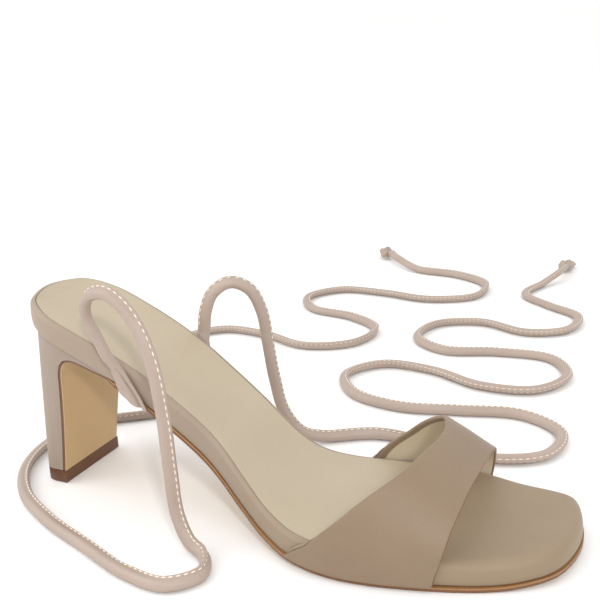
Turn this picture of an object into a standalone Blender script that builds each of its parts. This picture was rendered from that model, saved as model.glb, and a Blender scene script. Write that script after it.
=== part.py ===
"""A lace up heeled sandal for the right foot, with a square open toe and a slab heel.

Metres, +Z up, the toe toward +X and the outer side of the foot toward -Y. The tables below
measure from the back of the heel. The finished sandal is moved so that the middle of its
footprint, without the two ties, stands at the origin.
"""
import math

import bmesh
import bpy
import numpy as np
from mathutils import Vector

MM = 0.001
GAP = 0.3 * MM

# Driving sizes of the last, in plan and from the side
LENGTH = 233.0 * MM
BALL = 82.0 * MM
RISE = 75.5 * MM
STRAP_HEIGHT = 47.0 * MM

# The footbed and the sheet let into it
BED = 8.8 * MM
SHOULDER = 2.3 * MM
TOE_SHOULDER = 4.6 * MM
LOWER_CORNER = 1.0 * MM
SOCK_INSET = 2.6 * MM
SOCK_DEPTH = 1.0 * MM
SOCK_PROUD = 0.2 * MM
DISH = 1.4 * MM
DISH_SPAN = 35.0 * MM
SEAT_CUP = 1.2 * MM

# The outsole and the flap that covers the breast of the heel
SOLE = 2.2 * MM
FLAP = 1.2 * MM
FLAP_INSET = 0.4 * MM
SOLE_RETURN = 3.6 * MM

# The upper
STRAP_WALL = 1.8 * MM
STRAP_LEAN = 1.8 * MM

# The heel
HEEL_WIDTH = 38.6 * MM
HEEL_DEPTH = 11.9 * MM
HEEL_BACK = 1.2 * MM
HEEL_CORNER = 3.2 * MM
HEEL_INSET = 1.7 * MM
HEEL_REACH = 47.0 * MM
BREAST_LEAN = 8.2 * MM
BREAST_FILLET = 13.0 * MM
HEEL_SPREAD = 1.6
HEEL_FLARE = 1.15
RIM_BACK = 4.6 * MM
RIM_FRONT = 1.2 * MM
TOP_PIECE = 6.0 * MM

# The ties and the tabs that hold them
TIE = 5.0 * MM
TIE_LIFT = 0.15 * MM
TAB_WIDTH = 10.0 * MM
TAB_THICKNESS = 2.0 * MM
TAB_RISE = 2.0 * MM
KNOT = 11.5 * MM
KNOT_TIP = 11.0 * MM
KNOT_LOBES = 0.09
KNOT_FULLNESS = 0.7
FLOOR_LINE = TIE / 2 + TIE_LIFT
KNOT_LINE = KNOT / 2 * (1 + KNOT_LOBES) + TIE_LIFT

# How finely the faceted solids are cut
ROWS = 60
CURVE_STEPS = 16
SLOPE_REACH = 6.0 * MM
ARC_STEPS = 4
LOWER_STEPS = 2
BED_PANELS = 6
STRAP_ROWS = 40
STRAP_PANELS = 8
HEEL_COLUMNS = 26
HEEL_ROWS = 6
BREAST_STEPS = 4
FILLET_STEPS = 8
TAB_ROWS = 8
TAB_SIDES = 12
KNOT_ROWS = 12
KNOT_SIDES = 15
TIE_POINTS = 80

# Colours of the covers, linear
TAUPE = (0.48, 0.38, 0.29)
TIE_TAUPE = (0.51, 0.41, 0.34)
CREAM = (0.63, 0.53, 0.35)
TAN = (0.43, 0.30, 0.15)
BROWN = (0.11, 0.045, 0.022)

# Plan outline: share of LENGTH from the heel, outer half width as a share of BALL
OUTER_SIDE = [
    (0.008, 0.122),
    (0.030, 0.238),
    (0.080, 0.312),
    (0.160, 0.320),
    (0.280, 0.300),
    (0.400, 0.284),
    (0.470, 0.338),
    (0.520, 0.402),
    (0.580, 0.472),
    (0.650, 0.496),
    (0.720, 0.475),
    (0.800, 0.420),
    (0.880, 0.342),
    (0.940, 0.250),
    (0.980, 0.140),
]

# The same for the inner side of the foot
INNER_SIDE = [
    (0.008, 0.122),
    (0.030, 0.238),
    (0.080, 0.312),
    (0.160, 0.320),
    (0.280, 0.300),
    (0.400, 0.288),
    (0.470, 0.292),
    (0.520, 0.315),
    (0.580, 0.378),
    (0.650, 0.447),
    (0.720, 0.482),
    (0.800, 0.488),
    (0.880, 0.462),
    (0.940, 0.430),
    (0.975, 0.380),
    (0.993, 0.268),
]

# Where the toe ends, as a share of BALL toward the inner side
TOE_TIP = 0.075

# Underside of the sole: share of LENGTH, share of RISE; flat where the ball of the foot stands
UNDERSIDE = [
    (0.000, 1.000),
    (0.125, 0.856),
    (0.250, 0.672),
    (0.375, 0.396),
    (0.500, 0.097),
    (0.562, 0.036),
    (0.625, 0.010),
    (0.700, 0.000),
    (0.890, 0.000),
    (1.000, 0.034),
]

# How far the outsole stands out past the footbed: share of LENGTH, metres
SOLE_MARGIN = [
    (0.20, 0.2 * MM),
    (0.45, 0.6 * MM),
    (0.60, 1.0 * MM),
    (0.80, 1.0 * MM),
    (0.90, 0.8 * MM),
    (1.00, 0.7 * MM),
]

# Crown of the strap over the floor: share of LENGTH, share of STRAP_HEIGHT
STRAP_CROWN = [
    (0.540, 1.310),
    (0.580, 1.235),
    (0.660, 1.148),
    (0.740, 1.029),
    (0.780, 0.916),
    (0.840, 0.711),
    (0.880, 0.601),
    (0.940, 0.560),
]

# Edges of the strap: share of the way over the foot from the outer side, then the share of
# LENGTH at the rear edge and at the front edge
STRAP_EDGES = [
    (0.00, 0.572, 0.815),
    (0.05, 0.592, 0.819),
    (0.10, 0.616, 0.825),
    (0.20, 0.681, 0.834),
    (0.35, 0.756, 0.843),
    (0.50, 0.778, 0.847),
    (0.65, 0.753, 0.843),
    (0.80, 0.677, 0.832),
    (0.90, 0.611, 0.825),
    (1.00, 0.588, 0.819),
]
STRAP_SIDE = 0.10

# Where the sock lining ends under the strap, the upper edge is softest, and the bed's dish and
# the seat's cup fade
SOCK_END = 0.785
SOFT_TOE = 0.89
DISH_END = 0.60
CUP_END = 0.16

# Foot of the heel from the middle of its back: shares of HEEL_CORNER and of its half width
HEEL_FOOT = [
    (0.00, 0.00),
    (0.12, 0.45),
    (0.50, 0.80),
    (1.00, 0.94),
    (1.90, 1.00),
]

# Tabs: share of LENGTH at the foot and at the head of the tab
TAB_FOOT = 0.262
TAB_HEAD_LATERAL = 0.222
TAB_HEAD_MEDIAL = 0.272

# How each tie falls from its tab: millimetres forward and outward, share of the tab head's height
TIE_DROP_LATERAL = [
    (-3.9, 0.2, 1.120),
    (-6.2, 2.2, 1.250),
    (-1.5, 5.8, 1.375),
    (9.5, 9.0, 1.425),
    (21.5, 11.8, 1.340),
    (30.5, 13.7, 1.130),
    (34.8, 14.8, 0.820),
    (36.5, 15.4, 0.470),
    (38.5, 16.0, 0.210),
    (44.5, 17.8, 0.070),
]
TIE_DROP_MEDIAL = [
    (1.3, 0.2, 1.140),
    (4.2, 2.4, 1.266),
    (10.2, 6.8, 1.328),
    (16.6, 12.0, 1.266),
    (20.6, 15.0, 1.094),
    (22.1, 16.5, 0.844),
    (23.6, 18.5, 0.563),
    (26.6, 21.5, 0.281),
    (33.6, 26.5, 0.094),
]

# How each tie lies along the floor, in millimetres from the back of the heel
TIE_LAY_LATERAL = [
    (104.0, -49.0),
    (110.0, -60.0),
    (101.0, -71.0),
    (83.0, -70.0),
    (57.0, -61.0),
    (30.0, -51.0),
    (6.0, -37.0),
    (-11.0, -16.0),
    (-17.0, 10.0),
    (-9.0, 36.0),
    (12.0, 54.0),
    (30.0, 76.0),
    (30.0, 104.0),
    (8.0, 120.0),
    (-22.0, 132.0),
    (-36.0, 158.0),
    (-20.0, 182.0),
    (10.0, 182.0),
    (42.0, 172.0),
    (68.0, 186.0),
    (72.0, 214.0),
    (48.0, 232.0),
    (16.0, 240.0),
    (2.0, 264.0),
    (18.0, 288.0),
    (50.0, 290.0),
    (84.0, 286.0),
    (112.0, 302.0),
    (112.0, 332.0),
    (86.0, 350.0),
    (54.0, 355.0),
    (32.0, 368.0),
    (20.0, 384.0),
]
TIE_LAY_MEDIAL = [
    (108.0, 61.0),
    (128.0, 72.0),
    (156.0, 72.0),
    (184.0, 68.0),
    (206.0, 80.0),
    (208.0, 104.0),
    (186.0, 118.0),
    (156.0, 112.0),
    (126.0, 106.0),
    (98.0, 114.0),
    (84.0, 138.0),
    (98.0, 160.0),
    (128.0, 160.0),
    (158.0, 148.0),
    (186.0, 152.0),
    (198.0, 176.0),
    (184.0, 200.0),
    (154.0, 200.0),
    (124.0, 192.0),
    (102.0, 208.0),
    (106.0, 238.0),
    (132.0, 250.0),
    (162.0, 240.0),
    (184.0, 252.0),
    (186.0, 280.0),
    (164.0, 298.0),
    (144.0, 318.0),
    (150.0, 346.0),
    (158.0, 366.0),
    (160.0, 386.0),
]


def smooth(table, place, column=1):
    """Read a column of a table at a place, on a smooth line that never overshoots its rows."""
    spots = [row[0] for row in table]
    values = [row[column] for row in table]
    place = min(max(place, spots[0]), spots[-1])
    steps = [b - a for a, b in zip(spots, spots[1:])]
    slopes = [(b - a) / step for a, b, step in zip(values, values[1:], steps)]
    tangents = [slopes[0]]
    for before, after in zip(slopes, slopes[1:]):
        same_way = before * after > 0
        tangents.append(2 * before * after / (before + after) if same_way else 0.0)
    tangents.append(slopes[-1])
    index = 0
    while index < len(steps) - 1 and place > spots[index + 1]:
        index += 1
    step = steps[index]
    t = (place - spots[index]) / step
    from_start = (1 + 2 * t) * (1 - t) ** 2 * values[index] + t * (1 - t) ** 2 * step * tangents[index]
    to_end = t * t * (3 - 2 * t) * values[index + 1] - t * t * (1 - t) * step * tangents[index + 1]
    return from_start + to_end


def through_points(points, steps, closed):
    """A smooth curve through points, with a number of steps in each stretch."""
    points = [np.array(point, dtype=float) for point in points]
    if closed:
        points = [points[-1]] + points + points[:2]
    else:
        points = [2 * points[0] - points[1]] + points + [2 * points[-1] - points[-2]]
    curve = []
    for before, start, end, after in zip(points, points[1:], points[2:], points[3:]):
        knots = [0.0]
        for a, b in ((before, start), (start, end), (end, after)):
            knots.append(knots[-1] + math.sqrt(np.linalg.norm(b - a)))
        for step in range(steps):
            t = knots[1] + (knots[2] - knots[1]) * step / steps
            curve.append(knot_blend((before, start, end, after), knots, t))
    if not closed:
        curve.append(points[-2])
    return np.array(curve)


def knot_blend(points, knots, t):
    """One place on a stretch of a smooth curve between the second and third of four points."""
    level = list(points)
    for reach in (1, 2):
        blended = []
        for index in range(len(level) - 1):
            start = knots[index]
            end = knots[index + reach]
            share = (t - start) / (end - start)
            blended.append(level[index] * (1 - share) + level[index + 1] * share)
        level = blended
    share = (t - knots[1]) / (knots[2] - knots[1])
    return level[0] * (1 - share) + level[1] * share


def evenly(curve, count):
    """Points at equal steps along a curve, its two ends included."""
    lengths = np.linalg.norm(np.diff(curve, axis=0), axis=1)
    along = np.concatenate([[0.0], np.cumsum(lengths)])
    wanted = np.linspace(0.0, along[-1], count)
    return np.stack([np.interp(wanted, along, curve[:, axis]) for axis in range(curve.shape[1])], axis=1)


def plan_ring():
    """The footbed's outline from above, from the heel round the outer side to the toe and back."""
    outer = [(share * LENGTH, -half * BALL) for share, half in OUTER_SIDE]
    inner = [(share * LENGTH, half * BALL) for share, half in INNER_SIDE]
    corners = [(0.0, 0.0)] + outer + [(LENGTH, TOE_TIP * BALL)] + inner[::-1]
    curve = through_points(corners, CURVE_STEPS, closed=True)
    toe = (len(outer) + 1) * CURVE_STEPS
    along_outer = evenly(curve[:toe + 1], ROWS + 1)
    along_inner = evenly(np.vstack([curve[toe:], curve[:1]]), ROWS + 1)
    return np.vstack([along_outer[:-1], along_inner[:-1]])


RING = plan_ring()
RING_TANGENTS = np.roll(RING, -1, axis=0) - np.roll(RING, 1, axis=0)
RING_TANGENTS /= np.linalg.norm(RING_TANGENTS, axis=1)[:, None]
RING_OUTWARD = np.stack([RING_TANGENTS[:, 1], -RING_TANGENTS[:, 0]], axis=1)


def sides(row, inset):
    """The outer and inner points of the outline at one row, moved in by an inset."""
    opposite = (2 * ROWS - row) % (2 * ROWS)
    return tuple(RING[at] - RING_OUTWARD[at] * inset for at in (row, opposite))


def side_at(x, inner, outset):
    """How far to one side the outline reaches at a distance from the heel, grown by an outset."""
    points = [sides(row, -outset)[1 if inner else 0] for row in range(4, ROWS - 3)]
    return float(np.interp(x, [point[0] for point in points], [point[1] for point in points]))


def sole_height(x):
    """Height of the sole's underside, eased a little so that its bends are round."""
    near = [smooth(UNDERSIDE, (x + shift) / LENGTH) for shift in (-SLOPE_REACH, 0.0, SLOPE_REACH)]
    return RISE * sum(near) / len(near)


def slant(x):
    """How much longer an upright line is than the thickness that it crosses."""
    fall = (sole_height(x + SLOPE_REACH) - sole_height(x - SLOPE_REACH)) / (2 * SLOPE_REACH)
    return math.sqrt(1.0 + fall * fall)


def bed_bottom(x):
    return sole_height(x) + SOLE * slant(x)


def bed_top(x, across=0.0):
    """Height of the footbed's top; across runs from 0 at a side to 1 in the middle."""
    dish = DISH * max(0.0, 1.0 - (x / LENGTH / DISH_END) ** 2)
    cup = SEAT_CUP * max(0.0, 1.0 - x / LENGTH / CUP_END) ** 2
    return sole_height(x) + (SOLE + BED) * slant(x) + cup - dish * across


def new_object(name, mesh):
    node = bpy.data.objects.new(name, mesh)
    bpy.context.scene.collection.objects.link(node)
    return node


def skin(name, loops, cap_start=False, cap_end=False):
    """A closed solid through loops of points; points that fall together are made one."""
    form = bmesh.new()
    rings = [[form.verts.new(point) for point in loop] for loop in loops]
    count = len(rings[0])
    for ring, following in zip(rings, rings[1:]):
        for index in range(count):
            ahead = (index + 1) % count
            form.faces.new((ring[index], ring[ahead], following[ahead], following[index]))
    if cap_start:
        form.faces.new(rings[0])
    if cap_end:
        form.faces.new(rings[-1])
    return finish_mesh(name, form)


def finish_mesh(name, form):
    bmesh.ops.remove_doubles(form, verts=form.verts, dist=0.001 * MM)
    bmesh.ops.dissolve_degenerate(form, edges=form.edges, dist=0.001 * MM)
    bmesh.ops.recalc_face_normals(form, faces=form.faces)
    mesh = bpy.data.meshes.new(name)
    form.to_mesh(mesh)
    form.free()
    mesh.shade_smooth()
    mesh.set_sharp_from_angle(angle=math.radians(40))
    return new_object(name, mesh)


def across_points(left, right, left_height, right_height, drop, height_at):
    """Points of one row between two sides, with the dish of the bed."""
    points = []
    depth = min(1.0, float(np.linalg.norm(right - left)) / DISH_SPAN)
    for step in range(1, BED_PANELS):
        share = step / BED_PANELS
        spot = left * (1 - share) + right * share
        across = depth * (1.0 - (2 * share - 1) ** 2)
        points.append((spot[0], spot[1], height_at(spot[0], across) - drop))
    start = (left[0], left[1], left_height)
    end = (right[0], right[1], right_height)
    return [start] + points + [end]


def shoulder_at(x):
    """Radius of the bed's upper edge, which grows softer in front of the sock lining."""
    share = min(max((x / LENGTH - SOCK_END) / (SOFT_TOE - SOCK_END), 0.0), 1.0)
    return SHOULDER + (TOE_SHOULDER - SHOULDER) * share * share * (3 - 2 * share)


def shoulder_steps(radius):
    """Inset and depth of the rounded upper edge, from the top face to the upright wall."""
    turns = [math.pi / 2 * step / ARC_STEPS for step in range(ARC_STEPS + 1)]
    return [(radius * (1 - math.sin(turn)), radius * (1 - math.cos(turn))) for turn in turns]


def lower_steps():
    """Inset and height over the bottom of the rounded lower edge, from the wall to the bottom."""
    turns = [math.pi / 2 * step / LOWER_STEPS for step in range(LOWER_STEPS + 1)]
    return [(LOWER_CORNER * (1 - math.cos(turn)), LOWER_CORNER * (1 - math.sin(turn))) for turn in turns]


def make_footbed():
    """The wrapped footbed, with a shallow seat for the sock lining in its top."""
    loops = []
    for row in range(ROWS + 1):
        walls = [[], []]
        radius = shoulder_at(max(spot[0] for spot in sides(row, 0.0)))
        lip = max(SOCK_INSET - GAP, radius)
        for inset, depth in shoulder_steps(radius):
            for wall, spot in zip(walls, sides(row, inset)):
                wall.append((spot[0], spot[1], bed_top(spot[0]) - depth))
        for inset, height in lower_steps():
            for wall, spot in zip(walls, sides(row, inset)):
                wall.append((spot[0], spot[1], bed_bottom(spot[0]) + height))
        left, right = sides(row, lip)
        sunk = SOCK_DEPTH if max(left[0], right[0]) < SOCK_END * LENGTH else 0.0
        floor = across_points(left, right, bed_top(left[0]) - sunk, bed_top(right[0]) - sunk, sunk, bed_top)
        left_edge = [(left[0], left[1], bed_top(left[0]))]
        right_edge = [(right[0], right[1], bed_top(right[0]))]
        loops.append(left_edge + floor + right_edge + walls[1] + walls[0][::-1])
    return skin("footbed", loops)


def make_sock_lining():
    """The thin sheet in the footbed's seat, from the heel to under the strap."""
    thickness = SOCK_DEPTH + SOCK_PROUD - GAP
    loops = []
    for row in range(ROWS + 1):
        left, right = sides(row, SOCK_INSET)
        if max(left[0], right[0]) >= SOCK_END * LENGTH - 2 * GAP:
            break
        heights = (bed_top(left[0]) + SOCK_PROUD, bed_top(right[0]) + SOCK_PROUD)
        top = across_points(left, right, heights[0], heights[1], -SOCK_PROUD, bed_top)
        bottom = [(x, y, z - thickness) for x, y, z in top[::-1]]
        loops.append(top + bottom)
    return skin("sock_lining", loops, cap_end=True)


def breast_path():
    """Side view of the heel's underside, from the top piece up the breast and along the rim."""
    foot = Vector((HEEL_BACK + HEEL_DEPTH, TOP_PIECE + GAP))
    rim_back = foot.x + BREAST_LEAN
    corner = Vector((rim_back, bed_bottom(rim_back) - RIM_BACK))
    nose = Vector((HEEL_REACH, bed_bottom(HEEL_REACH) - GAP - RIM_FRONT))
    up = (corner - foot).normalized()
    along = (nose - corner).normalized()
    start = corner - up * BREAST_FILLET
    end = corner + along * BREAST_FILLET
    path = [foot.lerp(start, step / BREAST_STEPS) for step in range(BREAST_STEPS)]
    for step in range(FILLET_STEPS + 1):
        share = step / FILLET_STEPS
        path.append(start.lerp(corner, share).lerp(corner.lerp(end, share), share))
    path += [end.lerp(nose, step / BREAST_STEPS) for step in range(1, BREAST_STEPS + 1)]
    return path


def heel_half_width(x, z):
    """Half width of the heel: its foot's width, spreading to the seat it carries."""
    seat = min(abs(side_at(x, inner, -HEEL_INSET)) for inner in (False, True))
    share = min(max(z / bed_bottom(x), 0.0), 1.0)
    return HEEL_WIDTH / 2 + (seat - HEEL_WIDTH / 2) * share ** HEEL_SPREAD


def heel_foot_curve():
    """Plan of the heel's foot, from the middle of its rounded back to the front outer corner."""
    half = HEEL_WIDTH / 2
    corner = [(HEEL_BACK + depth * HEEL_CORNER, reach * half) for depth, reach in HEEL_FOOT]
    corner.append((HEEL_BACK + HEEL_DEPTH, half))
    curve = through_points(corner, CURVE_STEPS, closed=False)
    return evenly(curve, HEEL_COLUMNS // 2 + 1)


def make_heel_block():
    """The covered slab heel with the thin rim that runs forward under the seat."""
    foot = [(x, y, TOP_PIECE + GAP) for x, y in heel_foot_curve()]
    breast = breast_path()
    climb = []
    for spot in breast[1:]:
        climb.append((spot.x, heel_half_width(spot.x, spot.y), spot.y))
    lower = foot + climb
    seat_rows = [row for row in range(ROWS) if sides(row, HEEL_INSET)[0][0] <= HEEL_REACH]
    seat_curve = np.array([sides(row, HEEL_INSET)[0] for row in seat_rows])
    nose_side = side_at(HEEL_REACH, False, -HEEL_INSET)
    seat_curve = np.vstack([seat_curve, [(HEEL_REACH, nose_side)]])
    upper = evenly(seat_curve, len(lower))
    rows = []
    for row in range(HEEL_ROWS + 1):
        share = row / HEEL_ROWS
        flare = share ** HEEL_FLARE
        line = []
        for low, (x, y) in zip(lower, upper):
            top = (x, -y, bed_bottom(x) - GAP)
            z = low[2] + (top[2] - low[2]) * share
            line.append((low[0] + (top[0] - low[0]) * flare, low[1] + (top[1] - low[1]) * flare, z))
        rows.append(line)
    loops = []
    for column in range(len(lower)):
        outer = [(rows[row][column][0], -rows[row][column][1], rows[row][column][2])
                 for row in range(HEEL_ROWS + 1)]
        inner = [rows[row][column] for row in range(HEEL_ROWS, -1, -1)]
        loops.append(outer + inner)
    return skin("heel_block", loops, cap_end=True)


def make_top_piece():
    """The hard piece that the heel stands on, as wide as the heel and the flap together."""
    side = heel_foot_curve()
    front = side[-1][0] + GAP + FLAP
    plan = [(x, -y) for x, y in side[1:]] + [(front, -side[-1][1])]
    plan += [(front, side[-1][1])] + [(x, y) for x, y in side[:0:-1]] + [(side[0][0], 0.0)]
    loops = [[(x, y, height) for x, y in plan] for height in (0.0, TOP_PIECE)]
    return skin("top_piece", loops, cap_start=True, cap_end=True)


def make_outsole():
    """The thin sole from the toe to the shank, turned down over the breast of the heel."""
    turn = HEEL_REACH + SOLE_RETURN
    loops = []
    for row in range(ROWS, 0, -1):
        share = RING[row][0] / LENGTH
        left, right = sides(row, -smooth(SOLE_MARGIN, share))
        if max(left[0], right[0]) < turn:
            break
        top = [(spot[0], spot[1], bed_bottom(spot[0]) - GAP) for spot in (left, right)]
        bottom = [(spot[0], spot[1], sole_height(spot[0])) for spot in (right, left)]
        loops.append(top + bottom)
    path = breast_path()[::-1]
    for index, spot in enumerate(path):
        ahead = path[min(index + 1, len(path) - 1)]
        behind = path[max(index - 1, 0)]
        run = (ahead - behind).normalized()
        off = Vector((-run.y, run.x))
        if off.x < 0 and off.y > 0:
            off = -off
        half = heel_half_width(spot.x, spot.y) - FLAP_INSET
        inside = spot + off * GAP
        outside = spot + off * (GAP + FLAP)
        loops.append([
            (inside.x, -half, inside.y),
            (inside.x, half, inside.y),
            (outside.x, half, outside.y),
            (outside.x, -half, outside.y),
        ])
    return skin("outsole", loops, cap_end=True)


def strap_point(over, share):
    """A place on the strap's outer face: over the foot from 0 to 1, then from rear to front."""
    rear = smooth(STRAP_EDGES, over, 1)
    front = smooth(STRAP_EDGES, over, 2)
    x = (rear + (front - rear) * share) * LENGTH
    reach = GAP + STRAP_WALL
    outer = side_at(x, False, reach)
    inner = side_at(x, True, reach)
    middle = (outer + inner) / 2
    half = (inner - outer) / 2
    turn = math.pi * min(max((over - STRAP_SIDE) / (1 - 2 * STRAP_SIDE), 0.0), 1.0)
    spring = bed_top(x)
    crown = smooth(STRAP_CROWN, x / LENGTH) * STRAP_HEIGHT
    y = middle - half * math.cos(turn) + STRAP_LEAN * math.sin(turn) ** 2
    z = spring + (crown - spring) * math.sin(turn)
    upright = min(over, 1 - over, STRAP_SIDE) / STRAP_SIDE
    base = bed_bottom(x)
    return Vector((x, y, base + (z - base) * upright))


def strap_outward(over, share):
    """The way out of the strap's face; at its two feet it points level, to stay on the sole."""
    small = 0.004
    ahead = strap_point(over, min(share + small, 1.0)) - strap_point(over, max(share - small, 0.0))
    up = strap_point(min(over + small, 1.0), share) - strap_point(max(over - small, 0.0), share)
    out = ahead.cross(up)
    if min(over, 1 - over) < STRAP_SIDE:
        out.z = 0.0
    return out.normalized()


def make_front_strap():
    """The upper: one band arched over the foot, its two feet standing on the sole's rim."""
    loops = []
    for row in range(STRAP_ROWS + 1):
        over = row / STRAP_ROWS
        outside = []
        inside = []
        for panel in range(STRAP_PANELS + 1):
            share = panel / STRAP_PANELS
            spot = strap_point(over, share)
            out = strap_outward(over, share)
            outside.append(spot)
            inside.append(spot - out * STRAP_WALL)
        loops.append([tuple(spot) for spot in outside + inside[::-1]])
    return skin("front_strap", loops, cap_start=True, cap_end=True)


def make_tab(name, inner, head_share):
    """A pressed tab on the footbed's wall that rounds up into the start of a tie."""
    side = 1.0 if inner else -1.0
    head_x = head_share * LENGTH
    lean = (TAB_FOOT * LENGTH - head_x) / (bed_top(head_x) + TAB_RISE - bed_bottom(TAB_FOOT * LENGTH))
    loops = []
    for row in range(TAB_ROWS + 1):
        share = row / TAB_ROWS
        eased = share * share * (3 - 2 * share)
        x = (TAB_FOOT + (head_share - TAB_FOOT) * share) * LENGTH
        low = bed_bottom(x) - GAP
        high = bed_top(x) + TAB_RISE
        z = low + (high - low) * share
        half_width = (TAB_WIDTH + (TIE - TAB_WIDTH) * eased) / 2
        half_depth = (TAB_THICKNESS + (TIE - TAB_THICKNESS) * eased) / 2
        wall = side_at(x, inner, 2 * GAP)
        centre = Vector((x, wall + side * half_depth, z))
        loop = []
        for index in range(TAB_SIDES):
            turn = 2 * math.pi * index / TAB_SIDES
            along = half_width * math.cos(turn)
            out = half_depth * math.sin(turn)
            spread = side_at(x + along, inner, 2 * GAP) - wall
            rise = along * (eased * lean - (1 - eased) * tab_fall(x))
            loop.append((centre.x + along, centre.y + spread * (1 - eased) + out, centre.z + rise))
        loops.append(loop)
    return skin(name, loops, cap_start=True, cap_end=True), loops[-1]


def tab_fall(x):
    """How steeply the footbed falls toward the toe at a tab."""
    return (bed_bottom(x - SLOPE_REACH) - bed_bottom(x + SLOPE_REACH)) / (2 * SLOPE_REACH)


def tie_stations(tab_head, inner, drop, lay):
    """The places a tie passes: up out of its tab, over and down, then along the floor."""
    side = 1.0 if inner else -1.0
    head = np.mean([tuple(point) for point in tab_head], axis=0) + np.array([0.0, 0.0, 2 * GAP])
    stations = [head]
    for forward, out, share in drop:
        stations.append(np.array([head[0] + forward * MM, head[1] + side * out * MM, head[2] * share]))
    heights = [FLOOR_LINE] * (len(lay) - 2) + [KNOT_LINE] * 2
    for (x, y), height in zip(lay, heights):
        stations.append(np.array([x * MM, y * MM, height]))
    return stations


def make_tie(name, stations):
    """One rolled tie through its places, kept on the floor where it lies."""
    route = through_points(stations, CURVE_STEPS, closed=False)
    route[:, 2] = np.maximum(route[:, 2], FLOOR_LINE)
    points = evenly(route, TIE_POINTS)
    curve = bpy.data.curves.new(name, "CURVE")
    curve.dimensions = "3D"
    curve.bevel_depth = TIE / 2
    curve.bevel_resolution = 2
    curve.use_fill_caps = True
    spline = curve.splines.new("POLY")
    spline.points.add(len(points) - 1)
    for target, point in zip(spline.points, points):
        target.co = (point[0], point[1], point[2], 1.0)
    return new_object(name, curve), Vector(points[-1]), Vector(points[-1] - points[-2]).normalized()


def make_knot(name, start, ahead):
    """The knot that ends a tie, with its short tip drooping to the floor."""
    level = Vector((ahead.x, ahead.y, 0.0)).normalized()
    across = Vector((-level.y, level.x, 0.0))
    total = KNOT + KNOT_TIP
    loops = []
    for row in range(KNOT_ROWS + 1):
        along = total * row / KNOT_ROWS
        swell = math.sin(math.pi * min(along / KNOT, 1.0)) ** KNOT_FULLNESS
        radius = TIE / 2 + (KNOT - TIE) / 2 * swell
        droop = (start.z - FLOOR_LINE) * max(0.0, (along - KNOT) / KNOT_TIP) ** 2
        centre = start + ahead * GAP + level * along - Vector((0.0, 0.0, droop))
        loop = []
        for index in range(KNOT_SIDES):
            turn = 2 * math.pi * index / KNOT_SIDES
            lobe = 1.0 + KNOT_LOBES * swell * math.sin(3 * turn + 5 * along / KNOT)
            reach = radius * lobe
            loop.append(centre + across * reach * math.cos(turn) + Vector((0, 0, reach * math.sin(turn))))
        loops.append(loop)
    return skin(name, loops, cap_start=True, cap_end=True)


def finish(node, name, colour, roughness):
    """Give a piece its own material."""
    material = bpy.data.materials.new(name)
    material.use_nodes = True
    shader = material.node_tree.nodes["Principled BSDF"]
    shader.inputs["Base Color"].default_value = (*colour, 1.0)
    shader.inputs["Roughness"].default_value = roughness
    shader.inputs["Metallic"].default_value = 0.0
    node.data.materials.append(material)


def stand_at_origin(shoe, ties):
    """Hang every piece on one empty, and put the middle of the shoe's footprint at the origin."""
    corners = [node.matrix_world @ Vector(corner) for node in shoe for corner in node.bound_box]
    spans = [(min(point[axis] for point in corners), max(point[axis] for point in corners))
             for axis in range(2)]
    holder = new_object("sandal", None)
    holder.location = (-sum(spans[0]) / 2, -sum(spans[1]) / 2, 0.0)
    for node in shoe + ties:
        node.parent = holder


def main():
    for node in list(bpy.data.objects):
        bpy.data.objects.remove(node, do_unlink=True)
    footbed = make_footbed()
    sock_lining = make_sock_lining()
    outsole = make_outsole()
    front_strap = make_front_strap()
    heel_block = make_heel_block()
    top_piece = make_top_piece()
    for node in (footbed, front_strap, heel_block):
        finish(node, node.name + "_cover", TAUPE, 0.55)
    finish(sock_lining, "sock_lining_cream", CREAM, 0.45)
    finish(outsole, "outsole_tan", TAN, 0.5)
    finish(top_piece, "top_piece_brown", BROWN, 0.45)
    shoe = [footbed, sock_lining, outsole, front_strap, heel_block, top_piece]
    ties = []
    sides_of_foot = (
        ("lateral", False, TAB_HEAD_LATERAL, TIE_DROP_LATERAL, TIE_LAY_LATERAL),
        ("medial", True, TAB_HEAD_MEDIAL, TIE_DROP_MEDIAL, TIE_LAY_MEDIAL),
    )
    for side, inner, head, drop, lay in sides_of_foot:
        tab, tab_head = make_tab("tie_tab_" + side, inner, head)
        tie, end, ahead = make_tie("tie_" + side, tie_stations(tab_head, inner, drop, lay))
        knot = make_knot("tie_knot_" + side, end, ahead)
        for node in (tab, tie, knot):
            finish(node, node.name + "_cover", TIE_TAUPE, 0.5)
        shoe.append(tab)
        ties += [tie, knot]
    bpy.context.view_layer.update()
    stand_at_origin(shoe, ties)


main()
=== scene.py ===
"""Dresses a lace up heeled sandal: upper, lining, footbed, heel, sole and two rolled ties.

It is laid out as an add-on and run as a script. Every piece is built in place, in metres, with
the toe toward +X and the outer side of the foot toward -Y. The tables measure from the back of
the heel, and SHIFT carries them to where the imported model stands.
"""

import math

import bmesh
import bpy
import numpy as np
from bpy.props import FloatProperty, FloatVectorProperty, PointerProperty
from mathutils import Matrix, Vector


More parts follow.
